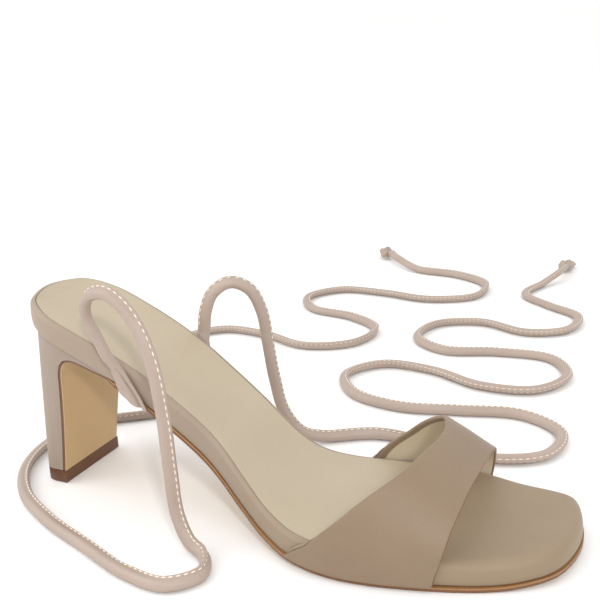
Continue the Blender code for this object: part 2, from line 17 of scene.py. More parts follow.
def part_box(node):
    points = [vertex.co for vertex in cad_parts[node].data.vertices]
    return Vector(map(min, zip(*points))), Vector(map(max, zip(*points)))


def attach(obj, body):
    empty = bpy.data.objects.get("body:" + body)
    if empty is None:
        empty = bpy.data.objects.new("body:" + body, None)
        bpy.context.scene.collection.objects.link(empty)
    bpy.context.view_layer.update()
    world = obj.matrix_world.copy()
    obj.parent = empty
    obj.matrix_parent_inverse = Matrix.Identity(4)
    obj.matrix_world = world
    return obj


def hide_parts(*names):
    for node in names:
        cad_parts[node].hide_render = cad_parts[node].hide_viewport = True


bl_info = {
    "name": "Lace up heeled sandal",
    "version": (1, 0, 0),
    "blender": (4, 5, 0),
    "location": "View3D > Sidebar > Sandal",
    "description": "Builds the visible pieces of a heeled sandal around its packed model",
    "category": "Object",
}

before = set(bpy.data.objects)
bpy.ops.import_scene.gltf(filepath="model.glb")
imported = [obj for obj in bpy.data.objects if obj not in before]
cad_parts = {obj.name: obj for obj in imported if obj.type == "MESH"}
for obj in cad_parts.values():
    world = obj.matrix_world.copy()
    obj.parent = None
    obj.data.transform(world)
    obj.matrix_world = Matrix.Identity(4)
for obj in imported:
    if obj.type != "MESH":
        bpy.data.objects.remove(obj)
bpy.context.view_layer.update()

MM = 0.001
GAP = 0.3 * MM
BODY = "root"
UP = np.array([0.0, 0.0, 1.0])

# Sizes of the last, the footbed and the sheet let into it
LENGTH = 233.0 * MM
BALL = 82.0 * MM
RISE = 75.5 * MM
STRAP_HEIGHT = 47.0 * MM
BED = 8.8 * MM
SHOULDER = 2.3 * MM
TOE_SHOULDER = 4.6 * MM
LOWER_CORNER = 0.6 * MM
SOCK_INSET = 2.6 * MM
SOCK_DEPTH = 1.0 * MM
SOCK_PROUD = 0.2 * MM
DISH = 1.4 * MM
DISH_SPAN = 35.0 * MM
SEAT_CUP = 1.2 * MM

# Sizes of the sole, the strap and the heel
SOLE = 2.2 * MM
FLAP = 1.2 * MM
FLAP_INSET = 0.4 * MM
SOLE_RETURN = 3.6 * MM
STRAP_WALL = 1.8 * MM
STRAP_LEAN = 1.8 * MM
HEEL_WIDTH = 38.6 * MM
HEEL_DEPTH = 11.9 * MM
HEEL_BACK = 1.2 * MM
HEEL_CORNER = 3.2 * MM
HEEL_INSET = 1.7 * MM
HEEL_REACH = 47.0 * MM
BREAST_LEAN = 8.2 * MM
BREAST_FILLET = 13.0 * MM
HEEL_SPREAD = 1.6
HEEL_FLARE = 1.15
RIM_BACK = 4.6 * MM
RIM_FRONT = 1.2 * MM
TOP_PIECE = 6.0 * MM

# Sizes of the ties
TIE = 5.0 * MM
TIE_LIFT = 0.15 * MM
TAB_WIDTH = 12.4 * MM
TAB_THICKNESS = 2.5 * MM
TAB_RISE = 2.0 * MM
PLEAT = 1.5 * MM
KNOT = 11.5 * MM
KNOT_TIP = 11.0 * MM
KNOT_LOBES = 0.09
KNOT_UNIT = 1.45 * MM
KNOT_MIDDLE = 5.2 * MM
KNOT_WEAVE = 1.55 * MM
KNOT_LEAN = 1.3
KNOT_OPENING = 0.5
KNOT_THICKNESS = 0.84
KNOT_LOWEST = 2.45 * MM
KNOT_LEAD = 1.6 * MM
KNOT_FAR_SIZE = 0.7
FLOOR_LINE = TIE / 2 + TIE_LIFT
KNOT_LINE = KNOT / 2 * (1 + KNOT_LOBES) + TIE_LIFT

# How finely the pieces are cut
ROWS = 220
SIDE_ROWS = range(ROWS // 15, ROWS - ROWS // 20)
MERGED = 0.002 * MM
SHORTEST = 0.001 * MM
PROBE = 0.004
CURVE_STEPS = 24
SLOPE_REACH = 6.0 * MM
LINE_MARGIN = 12 * MM
LINE_POINTS = 1200
BED_PANELS = 26
ROUND_STEPS = 8
TUCK_STEPS = 4
TIE_STEP = 1.4 * MM
ROUTE_STEPS = 16
KNOT_TURNS = 22
KNOT_SPLIT = 6
KNOT_STEPS = 150
TAB_ROWS = 34
TAB_SPLIT = 4
STRAP_ROWS = 110
STRAP_PANELS = 34
FOLD_ROWS = 25
FOLD_SIDES = 14
HEEL_FOOT_STEPS = 36
HEEL_ROWS = 24
TIP_STEPS = 30
BREAST_STEPS = 10
FILLET_STEPS = 20

# The camera: its place from the heel's back in millimetres, its yaw, pitch and roll, and its lens
CAMERA_SPOT = (275.0, -304.8, 198.4)
CAMERA_TURNS = (-0.4575, 0.3043, -0.0389)
SENSOR = 36.0
LENS = 922.65 / 600 * SENSOR

# The studio: the floor's half side, the sun, and each lamp's name, setting, size and place
FLOOR_REACH = 60.0
SUN_ANGLE = 1.1
SUN_SPOT = (-0.5, -0.1, 1.0)
LAMPS = [
    ("key_lamp", "key", 0.7, (-0.85, -0.40, 0.62)),
    ("far_lamp", "fill", 1.0, (0.5, 0.9, 0.9)),
    ("front_lamp", "front", 0.10, (0.62, -0.80, 0.72)),
]

# Plan outline: share of LENGTH from the heel, half width as a share of BALL
OUTER_SIDE = [
    (0.008, 0.122), (0.030, 0.238), (0.080, 0.312), (0.160, 0.320), (0.280, 0.300),
    (0.400, 0.284), (0.470, 0.338), (0.520, 0.402), (0.580, 0.472), (0.650, 0.496),
    (0.720, 0.475), (0.800, 0.420), (0.880, 0.342), (0.940, 0.250), (0.980, 0.140),
]
INNER_SIDE = [
    (0.008, 0.122), (0.030, 0.238), (0.080, 0.312), (0.160, 0.320), (0.280, 0.300),
    (0.400, 0.288), (0.470, 0.292), (0.520, 0.315), (0.580, 0.378), (0.650, 0.447),
    (0.720, 0.482), (0.800, 0.488), (0.880, 0.462), (0.940, 0.430), (0.975, 0.380),
    (0.993, 0.268),
]
TOE_TIP = 0.075

# Underside of the sole: share of LENGTH, share of RISE
UNDERSIDE = [
    (0.000, 1.000), (0.125, 0.856), (0.250, 0.672), (0.375, 0.396), (0.500, 0.097),
    (0.562, 0.036), (0.625, 0.010), (0.700, 0.000), (0.890, 0.000), (1.000, 0.034),
]
SOLE_MARGIN = [
    (0.20, 0.2 * MM), (0.45, 0.6 * MM), (0.60, 1.0 * MM), (0.80, 1.0 * MM), (0.90, 0.8 * MM),
    (1.00, 0.7 * MM),
]

# The strap: its crown over the floor, and its rear and front edges on the way over the foot
STRAP_CROWN = [
    (0.540, 1.310), (0.580, 1.235), (0.660, 1.148), (0.740, 1.029), (0.780, 0.916),
    (0.840, 0.711), (0.880, 0.601), (0.940, 0.560),
]
STRAP_EDGES = [
    (0.00, 0.572, 0.815), (0.05, 0.592, 0.819), (0.10, 0.616, 0.825), (0.20, 0.681, 0.834),
    (0.35, 0.756, 0.843), (0.50, 0.778, 0.847), (0.65, 0.753, 0.843), (0.80, 0.677, 0.832),
    (0.90, 0.611, 0.825), (1.00, 0.588, 0.819),
]
STRAP_SIDE = 0.10
SOCK_END = 0.785
SOFT_TOE = 0.89
# Shares of LENGTH over which the footbed's cover darkens to the toe's colour: painted shade where
# the light falls off toward the toe
TOE_PAINTED_SHADE = (0.42, 0.70)
DISH_END = 0.60
CUP_END = 0.16

# Foot of the heel: shares of HEEL_CORNER and of its half width
HEEL_FOOT = [
    (0.00, 0.00), (0.12, 0.45), (0.50, 0.80), (1.00, 0.94), (1.90, 1.00),
]

# Tabs, shares of LENGTH
TAB_FOOT = 0.262
TAB_HEAD_LATERAL = 0.222
TAB_HEAD_MEDIAL = 0.272

# Folds of a tab: where they stand over its width, how wide they are, and how low the foot hangs
TAB_ROLLED = 0.35
TAB_DROP = 1.3 * MM
PLEAT_PLACE = 0.58
PLEAT_WIDTH = 0.11
HEM = 0.7 * MM
HEM_PLACE = 0.12
HEM_WIDTH = 0.35

# Section of a tie: how far its core is open, and its sewn edge as shares of the flange and of
# EDGE_HALF
CORE_OPENING = 0.42
CORE_POINTS = 19
EDGE_HALF = 0.62 * MM
SEWN_EDGE = [
    (0.82, -1.25), (0.96, -1.0), (1.0, 0.0), (0.96, 1.0), (0.82, 1.25),
]

# How the sewn edge turns along a tie: its rest, two waves (size, pace), and more where it hangs
EDGE_TURN = 0.50
WAVE = (0.28, 21.0)
RIPPLE = (0.16, 47.0)
HANGING_TURN = 1.3
HANGING = 0.15
HANGING_END = 0.06
END_REACH = 1.2 * MM

# A stitch: sides, half width, half height, seat on the sewn edge, and its rings (place, size)
STITCH_SIDES = 6
STITCH_WIDTH = 0.26 * MM
STITCH_HEIGHT = 0.20 * MM
STITCH_SEAT = 0.80
STITCH_LIFT = 0.80 * MM
STITCH_START = 3 * MM
STITCH_MARGIN = 4 * MM
STITCH_RINGS = [
    (-0.72, 0.7), (0.0, 1.0), (0.72, 0.7),
]

# The tip beyond a knot: distance from the tie's end, height over the floor
KNOT_END = [
    (KNOT * 0.95, 3.1 * MM), (KNOT + KNOT_TIP * 0.5, 2.7 * MM), (KNOT + KNOT_TIP, 2.6 * MM),
]

# The footbed's wall and the sheet's edge
WALL_SHARES = (0.25, 0.5, 0.75)
WALL_FULLNESS = 0.25 * MM
SOCK_ROUND = 0.25 * MM
SOCK_CROWN = 0.08 * MM

# The strap's round edge, how far in its middle panels start, and the fold behind its foot
ROUND_SHARES = (0.0, 0.06, 0.2, 0.42, 0.7, 1.0)
EDGE_SPAN = 2.2 * MM
# Panels of the outer face before the front edge that take the brown edge line, partly dye and
# partly painted shade of the fold
DYE_AND_SHADE_PANELS = 4
FOLD_START = 0.012
FOLD_SPAN = 0.115
FOLD_SIZE = 0.7 * MM
FOLD_TAPER = 0.8
FOLD_SUNK = 0.62
FOLD_BACK = 0.75
FOLD_RISE = 0.3

# Clouds and grains of the finishes: width of a patch, detail, roughness
CLOUD = (34 * MM, 3.0, 0.55)
FLECK = (1.1 * MM, 3.0, 0.6)
STREAK = (0.5 * MM, 4.0, 0.6)
PATCH = (9 * MM, 2.0, 0.5)
SCUFF = (6 * MM, 4.0, 0.6)
FINE = (0.35 * MM, 2.0, 0.5)
TWIST = (0.25 * MM, 2.0, 0.5)

# Eased edges of the top piece: height, inset, both in millimetres
TIP_SECTION = [
    (0.0, 0.5), (0.15, 0.2), (0.5, 0.0), (5.6, 0.0), (5.9, 0.12), (6.0, 0.3),
]

# The eased edges of the sole and its flap, their sections (side, whether eased, share of the
# thickness), and which faces of them show the dyed edge (1) or its darker foot (2)
EDGE_INSET = 0.35 * MM
FLAP_EASE = 0.3 * MM
SOLE_SECTION = [
    (0, 0, 1.0), (1, 0, 1.0), (1, 0, 0.7), (1, 0, 0.2), (1, 1, 0.0), (0, 1, 0.0), (0, 0, 0.2),
    (0, 0, 0.7),
]
FLAP_SECTION = [
    (-1, 0, 0.0), (1, 0, 0.0), (1, 0, 0.35), (1, 0, 0.75), (1, 1, 1.0), (-1, 1, 1.0),
    (-1, 0, 0.75), (-1, 0, 0.35),
]
SOLE_KINDS = {0: 1, 1: 1, 2: 2, 3: 2, 5: 2, 6: 2, 7: 1}
FLAP_KINDS = {0: 2, 1: 2, 2: 2, 6: 2, 7: 2}

# How each tie falls from its tab: millimetres forward and outward, share of the head's height
TIE_DROP_LATERAL = [
    (-3.9, 0.2, 1.120), (-6.2, 2.2, 1.250), (-1.5, 5.8, 1.375), (9.5, 9.0, 1.425),
    (21.5, 11.8, 1.340), (30.5, 13.7, 1.130), (34.8, 14.8, 0.820), (36.5, 15.4, 0.470),
    (38.5, 16.0, 0.210), (44.5, 17.8, 0.070),
]
TIE_DROP_MEDIAL = [
    (1.3, 0.2, 1.140), (4.2, 2.4, 1.266), (10.2, 6.8, 1.328), (16.6, 12.0, 1.266),
    (20.6, 15.0, 1.094), (22.1, 16.5, 0.844), (23.6, 18.5, 0.563), (26.6, 21.5, 0.281),
    (33.6, 26.5, 0.094),
]

# How each tie lies along the floor, in millimetres
TIE_LAY_LATERAL = [
    (104, -49), (110, -60), (101, -71), (83, -70), (57, -61), (30, -51), (6, -37), (-11, -16),
    (-17, 10), (-9, 36), (12, 54), (30, 76), (30, 104), (8, 120), (-22, 132), (-36, 158),
    (-20, 182), (10, 182), (42, 172), (68, 186), (72, 214), (48, 232), (16, 240), (2, 264),
    (18, 288), (50, 290), (84, 286), (112, 302), (112, 332), (86, 350), (54, 355), (32, 368),
    (20, 384),
]
TIE_LAY_MEDIAL = [
    (108, 61), (128, 72), (156, 72), (184, 68), (206, 80), (208, 104), (186, 118), (156, 112),
    (126, 106), (98, 114), (84, 138), (98, 160), (128, 160), (158, 148), (186, 152), (198, 176),
    (184, 200), (154, 200), (124, 192), (102, 208), (106, 238), (132, 250), (162, 240), (184, 252),
    (186, 280), (164, 298), (144, 318), (150, 346), (158, 366), (160, 386),
]


def model_shift():
    """Where the tables' zero, the back of the heel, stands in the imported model."""
    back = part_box("footbed")[0].x
    low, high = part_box("top_piece")
    return np.array([back, (low.y + high.y) / 2, 0.0])


SHIFT = model_shift()


def tone(red, green, blue):
    """A colour as a paint chart gives it, from 0 to 255, made linear."""
    shares = [value / 255 for value in (red, green, blue)]
    return tuple(v / 12.92 if v < 0.04045 else ((v + 0.055) / 1.055) ** 2.4 for v in shares)


# Curves and the last


def smooth(table, place, column=1):
    """Read a column of a table at a place, on a smooth line that never overshoots its rows."""
    spots = [row[0] for row in table]
    values = [row[column] for row in table]
    place = min(max(place, spots[0]), spots[-1])
    steps = [b - a for a, b in zip(spots, spots[1:])]
    slopes = [(b - a) / step for a, b, step in zip(values, values[1:], steps)]
    tangents = [slopes[0]]
    for before, after in zip(slopes, slopes[1:]):
        same_way = before * after > 0
        tangents.append(2 * before * after / (before + after) if same_way else 0.0)
    tangents.append(slopes[-1])
    index = 0
    while index < len(steps) - 1 and place > spots[index + 1]:
        index += 1
    step = steps[index]
    t = (place - spots[index]) / step
    first, last = values[index:index + 2]
    leaving, arriving = tangents[index:index + 2]
    from_start = (1 + 2 * t) * (1 - t) ** 2 * first + t * (1 - t) ** 2 * step * leaving
    to_end = t * t * (3 - 2 * t) * last - t * t * (1 - t) * step * arriving
    return from_start + to_end


def through_points(points, steps, closed=False):
    """A smooth curve through points, with a number of steps in each stretch."""
    points = [np.array(point, dtype=float) for point in points]
    if closed:
        points = [points[-1]] + points + points[:2]
    else:
        points = [2 * points[0] - points[1]] + points + [2 * points[-1] - points[-2]]
    curve = []
    for before, start, end, after in zip(points, points[1:], points[2:], points[3:]):
        knots = [0.0]
        for a, b in ((before, start), (start, end), (end, after)):
            knots.append(knots[-1] + math.sqrt(np.linalg.norm(b - a)))
        for step in range(steps):
            t = knots[1] + (knots[2] - knots[1]) * step / steps
            curve.append(knot_blend((before, start, end, after), knots, t))
    if not closed:
        curve.append(points[-2])
    return np.array(curve)


def knot_blend(points, knots, t):
    """One place on a stretch of a smooth curve between the second and third of four points."""
    level = list(points)
    for reach in (1, 2):
        blended = []
        for index in range(len(level) - 1):
            start = knots[index]
            end = knots[index + reach]
            share = (t - start) / (end - start)
            blended.append(level[index] * (1 - share) + level[index + 1] * share)
        level = blended
    share = (t - knots[1]) / (knots[2] - knots[1])
    return level[0] * (1 - share) + level[1] * share


def walk(curve):
    """The distance walked along a curve at each of its points."""
    return np.concatenate([[0.0], np.cumsum(np.linalg.norm(np.diff(curve, axis=0), axis=1))])


def evenly(curve, count):
    """Points at equal steps along a curve, its two ends included."""
    along = walk(curve)
    wanted = np.linspace(0.0, along[-1], count)
    return np.stack([np.interp(wanted, along, column) for column in curve.T], axis=1)


def plan_ring():
    """The footbed's outline from above, from the heel round the outer side to the toe and back."""
    outer = [(share * LENGTH, -half * BALL) for share, half in OUTER_SIDE]
    inner = [(share * LENGTH, half * BALL) for share, half in INNER_SIDE]
    corners = [(0.0, 0.0)] + outer + [(LENGTH, TOE_TIP * BALL)] + inner[::-1]
    curve = through_points(corners, CURVE_STEPS, closed=True)
    toe = (len(outer) + 1) * CURVE_STEPS
    along_outer = evenly(curve[:toe + 1], ROWS + 1)
    along_inner = evenly(np.vstack([curve[toe:], curve[:1]]), ROWS + 1)
    return np.vstack([along_outer[:-1], along_inner[:-1]])


RING = plan_ring()
RING_TANGENTS = np.roll(RING, -1, axis=0) - np.roll(RING, 1, axis=0)
RING_TANGENTS /= np.linalg.norm(RING_TANGENTS, axis=1)[:, None]
RING_OUTWARD = np.stack([RING_TANGENTS[:, 1], -RING_TANGENTS[:, 0]], axis=1)
SIDE_LINES = {}
LINE_X = np.linspace(-LINE_MARGIN, LENGTH + LINE_MARGIN, LINE_POINTS)
LINE_Z = RISE * np.mean([[smooth(UNDERSIDE, (x + shift) / LENGTH) for x in LINE_X]
                         for shift in (-SLOPE_REACH, 0.0, SLOPE_REACH)], axis=0)


def sides(row, inset):
    """The outer and inner points of the outline at one row, moved in by an inset."""
    opposite = (2 * ROWS - row) % (2 * ROWS)
    return tuple(RING[at] - RING_OUTWARD[at] * inset for at in (row, opposite))


def sign_of(inner):
    """The way out of a side: 1 for the inner one, -1 for the outer one."""
    return 1.0 if inner else -1.0


def side_at(x, inner, outset):
    """How far to one side the outline reaches at a distance from the heel, grown by an outset."""
    key = (inner, round(outset / MM, 3))
    if key not in SIDE_LINES:
        SIDE_LINES[key] = np.array([sides(row, -outset)[int(inner)] for row in SIDE_ROWS])
    line = SIDE_LINES[key]
    return float(np.interp(x, line[:, 0], line[:, 1]))


def sole_height(x):
    """Height of the sole's underside."""
    return float(np.interp(x, LINE_X, LINE_Z))


def slant(x):
    """How much longer an upright line is than the thickness that it crosses."""
    fall = (sole_height(x + SLOPE_REACH) - sole_height(x - SLOPE_REACH)) / (2 * SLOPE_REACH)
    return math.sqrt(1.0 + fall * fall)


def bed_bottom(x):
    """Height of the footbed's underside."""
    return sole_height(x) + SOLE * slant(x)


def bed_top(x, across=0.0):
    """Height of the footbed's top; across runs from 0 at a side to 1 in the middle."""
    dish = DISH * max(0.0, 1.0 - (x / LENGTH / DISH_END) ** 2)
    cup = SEAT_CUP * max(0.0, 1.0 - x / LENGTH / CUP_END) ** 2
    return sole_height(x) + (SOLE + BED) * slant(x) + cup - dish * across


def quarter(steps):
    """Even turns over a quarter of a circle."""
    return [math.pi / 2 * step / steps for step in range(steps + 1)]


def clamp(share):
    """A share kept between 0 and 1."""
    return min(max(share, 0.0), 1.0)


def ease(share):
    """A share between 0 and 1 with a soft start and end."""
    return share * share * (3 - 2 * share)


def shoulder_at(x):
    """Radius of the bed's upper edge, which grows softer in front of the sock lining."""
    share = clamp((x / LENGTH - SOCK_END) / (SOFT_TOE - SOCK_END))
    return SHOULDER + (TOE_SHOULDER - SHOULDER) * ease(share)


# Meshes


def loft(name, loops, finishes, pick=None, cap_start=False, cap_end=False, crease=38.0):
    """A mesh through loops of points; pick gives the finish of a face from its row and column."""
    form = bmesh.new()
    rings = [[form.verts.new(Vector(point) + Vector(SHIFT)) for point in loop] for loop in loops]
    count = len(rings[0])
    for row, (ring, following) in enumerate(zip(rings, rings[1:])):
        for index in range(count):
            ahead = (index + 1) % count
            face = form.faces.new((ring[index], ring[ahead], following[ahead], following[index]))
            if pick:
                face.material_index = pick(row, index)
    for ring, wanted in ((rings[0], cap_start), (rings[-1], cap_end)):
        if wanted:
            form.faces.new(ring)
    bmesh.ops.remove_doubles(form, verts=form.verts, dist=MERGED)
    bmesh.ops.dissolve_degenerate(form, edges=form.edges, dist=SHORTEST)
    bmesh.ops.recalc_face_normals(form, faces=form.faces)
    return place_mesh(name, form, finishes, crease)


def place_mesh(name, form, finishes, crease):
    """Turn a form into an object of the scene with its finishes."""
    mesh = bpy.data.meshes.new(name)
    form.to_mesh(mesh)
    form.free()
    for finish in finishes:
        mesh.materials.append(finish)
    mesh.shade_smooth()
    mesh.set_sharp_from_angle(angle=math.radians(crease))
    piece = bpy.data.objects.new(name, mesh)
    bpy.context.scene.collection.objects.link(piece)
    return piece


def settle(piece, slot, *nodes):
    """Hang a finished piece on the body, in place of the model's nodes."""
    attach(piece, BODY)
    if nodes:
        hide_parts(*nodes)


def turned(across, up, turn):
    """Two directions that stand square to each other, turned together."""
    cosine, sine = math.cos(turn), math.sin(turn)
    return across * cosine + up * sine, up * cosine - across * sine


def tube_frames(path):
    """Directions along, across and up at each point of a path, turned as little as possible."""
    along = np.gradient(path, axis=0)
    along /= np.linalg.norm(along, axis=1)[:, None]
    up = np.zeros_like(along)
    last = UP
    for index in range(len(path) - 1, -1, -1):
        last = last - along[index] * np.dot(last, along[index])
        last /= np.linalg.norm(last)
        up[index] = last
    across = np.cross(along, up)
    return along, across, up


# Finishes


class Value:
    """A socket of a finish. Sums and products of values add the nodes that work them out."""

    def __init__(self, finish, socket):
        self.finish = finish
        self.socket = socket

    def step(self, operation, *terms):
        """One Math node on this value and the given terms."""
        return self.finish.node("ShaderNodeMath", {"operation": operation}, dict(enumerate(terms)))

    def __add__(self, other):
        return self.step("ADD", self, other)

    def __sub__(self, other):
        return self.step("SUBTRACT", self, other)

    def __mul__(self, other):
        return self.step("MULTIPLY", self, other)

    def __radd__(self, other):
        return self.step("ADD", other, self)

    def within(self, low, high):
        """0 up to low, 1 from high on, and an even rise between them."""
        values = {0: self, 1: low, 2: high, 3: 0.0, 4: 1.0}
        return self.finish.node("ShaderNodeMapRange", {}, values)


class Finish:
    """A material with one main shader, and the nodes that vary it over the surface."""

    def __init__(self, name, colour, roughness, **fixed):
        self.material = bpy.data.materials.new(name)
        self.material.use_nodes = True
        self.tree = self.material.node_tree
        self.shader = self.tree.nodes["Principled BSDF"]
        self.set("Base Color", (*colour, 1.0))
        self.set("Roughness", roughness)
        for key, value in fixed.items():
            self.set(key.replace("_", " "), value)

    def node(self, kind, settings, values, output=0):
        """Any node, with its settings made first and then the values or links of its sockets."""
        made = self.tree.nodes.new(kind)
        for key, value in settings.items():
            setattr(made, key, value)
        for key, value in values.items():
            if isinstance(value, Value):
                self.tree.links.new(value.socket, made.inputs[key])
            else:
                made.inputs[key].default_value = value
        return Value(self, made.outputs[output])

    def set(self, key, value):
        """Give one of the shader's sockets a value or a link."""
        if isinstance(value, Value):
            self.tree.links.new(value.socket, self.shader.inputs[key])
        else:
            self.shader.inputs[key].default_value = value

    def place(self):
        """The place on the object, in metres."""
        return self.node("ShaderNodeTexCoord", {}, {}, 3)

    def along(self):
        """How far toward the toe, in metres."""
        return self.node("ShaderNodeSeparateXYZ", {}, {0: self.place()})

    def noise(self, grain, detail, rough):
        """Cloudy values from 0 to 1 whose patches are about grain metres wide."""
        values = {"Vector": self.place(), "Scale": 1 / grain, "Detail": detail, "Roughness": rough}
        return self.node("ShaderNodeTexNoise", {}, values)

    def cells(self, grain):
        """Distance to the middle of pebbles about grain metres wide."""
        return self.node("ShaderNodeTexVoronoi", {}, {"Vector": self.place(), "Scale": 1 / grain})

    def mix(self, share, first, second):
        """A colour between two colours."""
        values = {0: share}
        for key, colour in ((6, first), (7, second)):
            values[key] = colour if isinstance(colour, Value) else (*colour, 1.0)
        return self.node("ShaderNodeMix", {"data_type": "RGBA"}, values, 2)

    def bump(self, height, depth, under=None):
        """A relief from a height of 0 to 1, depth metres deep."""
        values = {"Height": height, "Distance": depth, "Strength": 1.0}
        if under:
            values["Normal"] = under
        return self.node("ShaderNodeBump", {}, values)


def leather(name, pair, roughness, grain=0.55 * MM, depth=0.03 * MM, front=None, **fixed):
    """Dyed leather: a soft cloud of shade, fine flecks, pebbled grain and uneven gloss.

    A pair is a colour and its shade. With a front pair, the leather takes it from the strap on:
    painted shade, darker toward the toe where the light falls off.
    """
    finish = Finish(name, pair[0], roughness, **fixed)
    cloud = finish.noise(*CLOUD)
    fleck = finish.noise(*FLECK)
    pebble = finish.cells(grain)
    dark = tuple(0.80 * value for value in pair[1])
    # Painted shade: from the strap on, the colour turns to the darker front pair, as the light
    # falls off toward the toe
    if front:
        start, end = (SHIFT[0] + share * LENGTH for share in TOE_PAINTED_SHADE)
        ahead = finish.along().within(start, end)
        pair = [finish.mix(ahead, behind, before) for behind, before in zip(pair, front)]
    body = finish.mix(cloud.within(0.3, 0.75) * 0.55, *pair)
    finish.set("Base Color", finish.mix(fleck.within(0.50, 0.85) * 0.22, body, dark))
    finish.set("Roughness", roughness + (cloud - 0.5) * 0.12 + (fleck - 0.5) * 0.10)
    pores = finish.bump(pebble, depth)
    finish.set("Normal", finish.bump(fleck, depth * 0.4, pores))
    return finish.material


def edge_dye(name, colour, dark, roughness):
    """The painted cut edge of a leather sole, streaked along its length. It also paints the shade
    at the footbed's seam and, with the dye, on the strap's front edge.
    """
    finish = Finish(name, colour, roughness)
    streak = finish.noise(*STREAK)
    patch = finish.noise(*PATCH)
    finish.set("Base Color", finish.mix(streak.within(0.35, 0.75) * 0.6, colour, dark))
    finish.set("Roughness", roughness + (patch - 0.5) * 0.2)
    finish.set("Normal", finish.bump(streak, 0.05 * MM))
    return finish.material


def moulded(name, colour, dark, roughness):
    """Moulded rubber with a faint cloud and scuffs."""
    finish = Finish(name, colour, roughness)
    cloud = finish.noise(*SCUFF)
    fine = finish.noise(*FINE)
    finish.set("Base Color", finish.mix(cloud.within(0.35, 0.7) * 0.5, colour, dark))
    finish.set("Roughness", roughness + (fine - 0.5) * 0.2)
    finish.set("Normal", finish.bump(fine, 0.02 * MM))
    return finish.material


# Settings


def colour_property(title, text, chart):
    """A colour that a user may change."""
    return FloatVectorProperty(name=title, description=text, subtype="COLOR", size=3, min=0.0,
                               max=1.0, default=tone(*chart))


def shade_property(title, chart):
    """The darker patches of a colour."""
    return colour_property(title, "Its darker patches", chart)


def amount_property(title, text, value, subtype="NONE"):
    """A strength or a power that a user may change."""
    return FloatProperty(name=title, description=text, subtype=subtype, default=value, min=0.0)


def length_property(title, text, value):
    """A length that a user may change."""
    return FloatProperty(name=title, description=text, subtype="DISTANCE", unit="LENGTH",
                         default=value, min=0.0, precision=5)


class StageSettings(bpy.types.PropertyGroup):
    """The studio."""

    floor: colour_property("Floor", "Colour of the plain floor", (241, 240, 239))
    sky: amount_property("Sky", "Strength of the even light", 1.0)
    sun: amount_property("Sun", "Strength of the wide light overhead", 0.55)
    key: amount_property("Key", "Power of the lamp beside the heel", 3.0, "POWER")
    fill: amount_property("Fill", "Power of the far lamp", 1.0, "POWER")
    front: amount_property("Front", "Power of the lamp beside the camera", 5.0, "POWER")


class LeatherSettings(bpy.types.PropertyGroup):
    """The covers of the upper, the footbed and the heel."""

    # The strap's pair is a darker, browner copy of the toe's taupe leather: partly its own tone,
    # partly painted shade on its sideways face
    strap: colour_property("Strap", "Colour of the strap", (134, 114, 92))
    strap_shade: shade_property("Strap shade", (122, 101, 80))
    # The toe's pair is the rear's taupe leather made darker: painted shade where the light falls
    # off toward the toe
    taupe: colour_property("Taupe", "Colour of the toe", (143, 124, 100))
    taupe_shade: shade_property("Taupe shade", (131, 111, 87))
    rear: colour_property("Rear", "Colour of the footbed's wall behind the strap", (154, 137, 120))
    rear_shade: shade_property("Rear shade", (144, 127, 109))
    heel: colour_property("Heel", "Colour of the heel's cover", (150, 134, 120))
    heel_shade: shade_property("Heel shade", (139, 123, 107))
    sock: colour_property("Sock", "Colour of the sheet in the footbed", (177, 163, 140))
    sock_shade: shade_property("Sock shade", (168, 155, 131))
    # The lining's pair is the sock's cream made brighter: painted light, lifting the shade under
    # the strap
    lining: colour_property("Lining", "Colour of the strap's lining", (199, 186, 161))
    lining_shade: shade_property("Lining shade", (191, 177, 151))


class TieSettings(bpy.types.PropertyGroup):
    """The two rolled ties."""

    leather: colour_property("Leather", "Colour of the ties", (169, 152, 140))
    shade: colour_property("Shade", "Darker patches of the ties", (154, 136, 124))
    thread: colour_property("Thread", "Colour of the stitches", (236, 224, 204))
    core: length_property("Core", "Radius of the rolled core", 2.3 * MM)
    flange: length_property("Flange", "How far the sewn edge stands from the middle", 3.5 * MM)
    stitch: length_property("Stitch", "Length of a stitch", 1.9 * MM)
    pitch: length_property("Pitch", "Step from one stitch to the next", 2.9 * MM)
    lateral: length_property("Outer tie", "Length of the outer tie", 1.06)
    medial: length_property("Inner tie", "Length of the inner tie", 0.945)


class SoleSettings(bpy.types.PropertyGroup):
    """The sole and the heel's tip."""

    tan: colour_property("Tan", "Colour of the sole's face", (190, 161, 118))
    tan_shade: shade_property("Tan shade", (179, 148, 105))
    edge: colour_property("Edge", "Colour of the sole's edge at its top", (162, 120, 78))
    edge_line: colour_property("Edge line", "Darker foot of the edge", (122, 84, 55))
    tip: colour_property("Tip", "Colour of the heel's tip", (99, 62, 34))
    tip_shade: shade_property("Tip shade", (77, 46, 26))


SETTINGS = (StageSettings, LeatherSettings, TieSettings, SoleSettings)


def short_name(group):
    """What a group of settings is called in the scene and the panel."""
    return group.__name__.replace("Settings", "").lower()


def settings(name):
    """One group of the scene's settings."""
    return getattr(bpy.context.scene, "sandal_" + name)


def leather_pair(name):
    """A colour of the leather settings and its shade."""
    chosen = settings("leather")
    return getattr(chosen, name), getattr(chosen, name + "_shade")


def cover_leather(name, pair, front=None):
    """The covering leather, made once for each piece that it covers."""
    ahead = leather_pair(front) if front else None
    return leather(name, leather_pair(pair), 0.56, front=ahead, Sheen_Weight=0.08,
                   Sheen_Roughness=0.5)


def cream_leather(name, pair):
    """The lining leather."""
    return leather(name, leather_pair(pair), 0.44, grain=0.7 * MM, depth=0.012 * MM)


def tie_leather(name):
    """The thin leather of the ties."""
    chosen = settings("tie")
    return leather(name, (chosen.leather, chosen.shade), 0.46, grain=0.45 * MM, depth=0.02 * MM)


# Operators


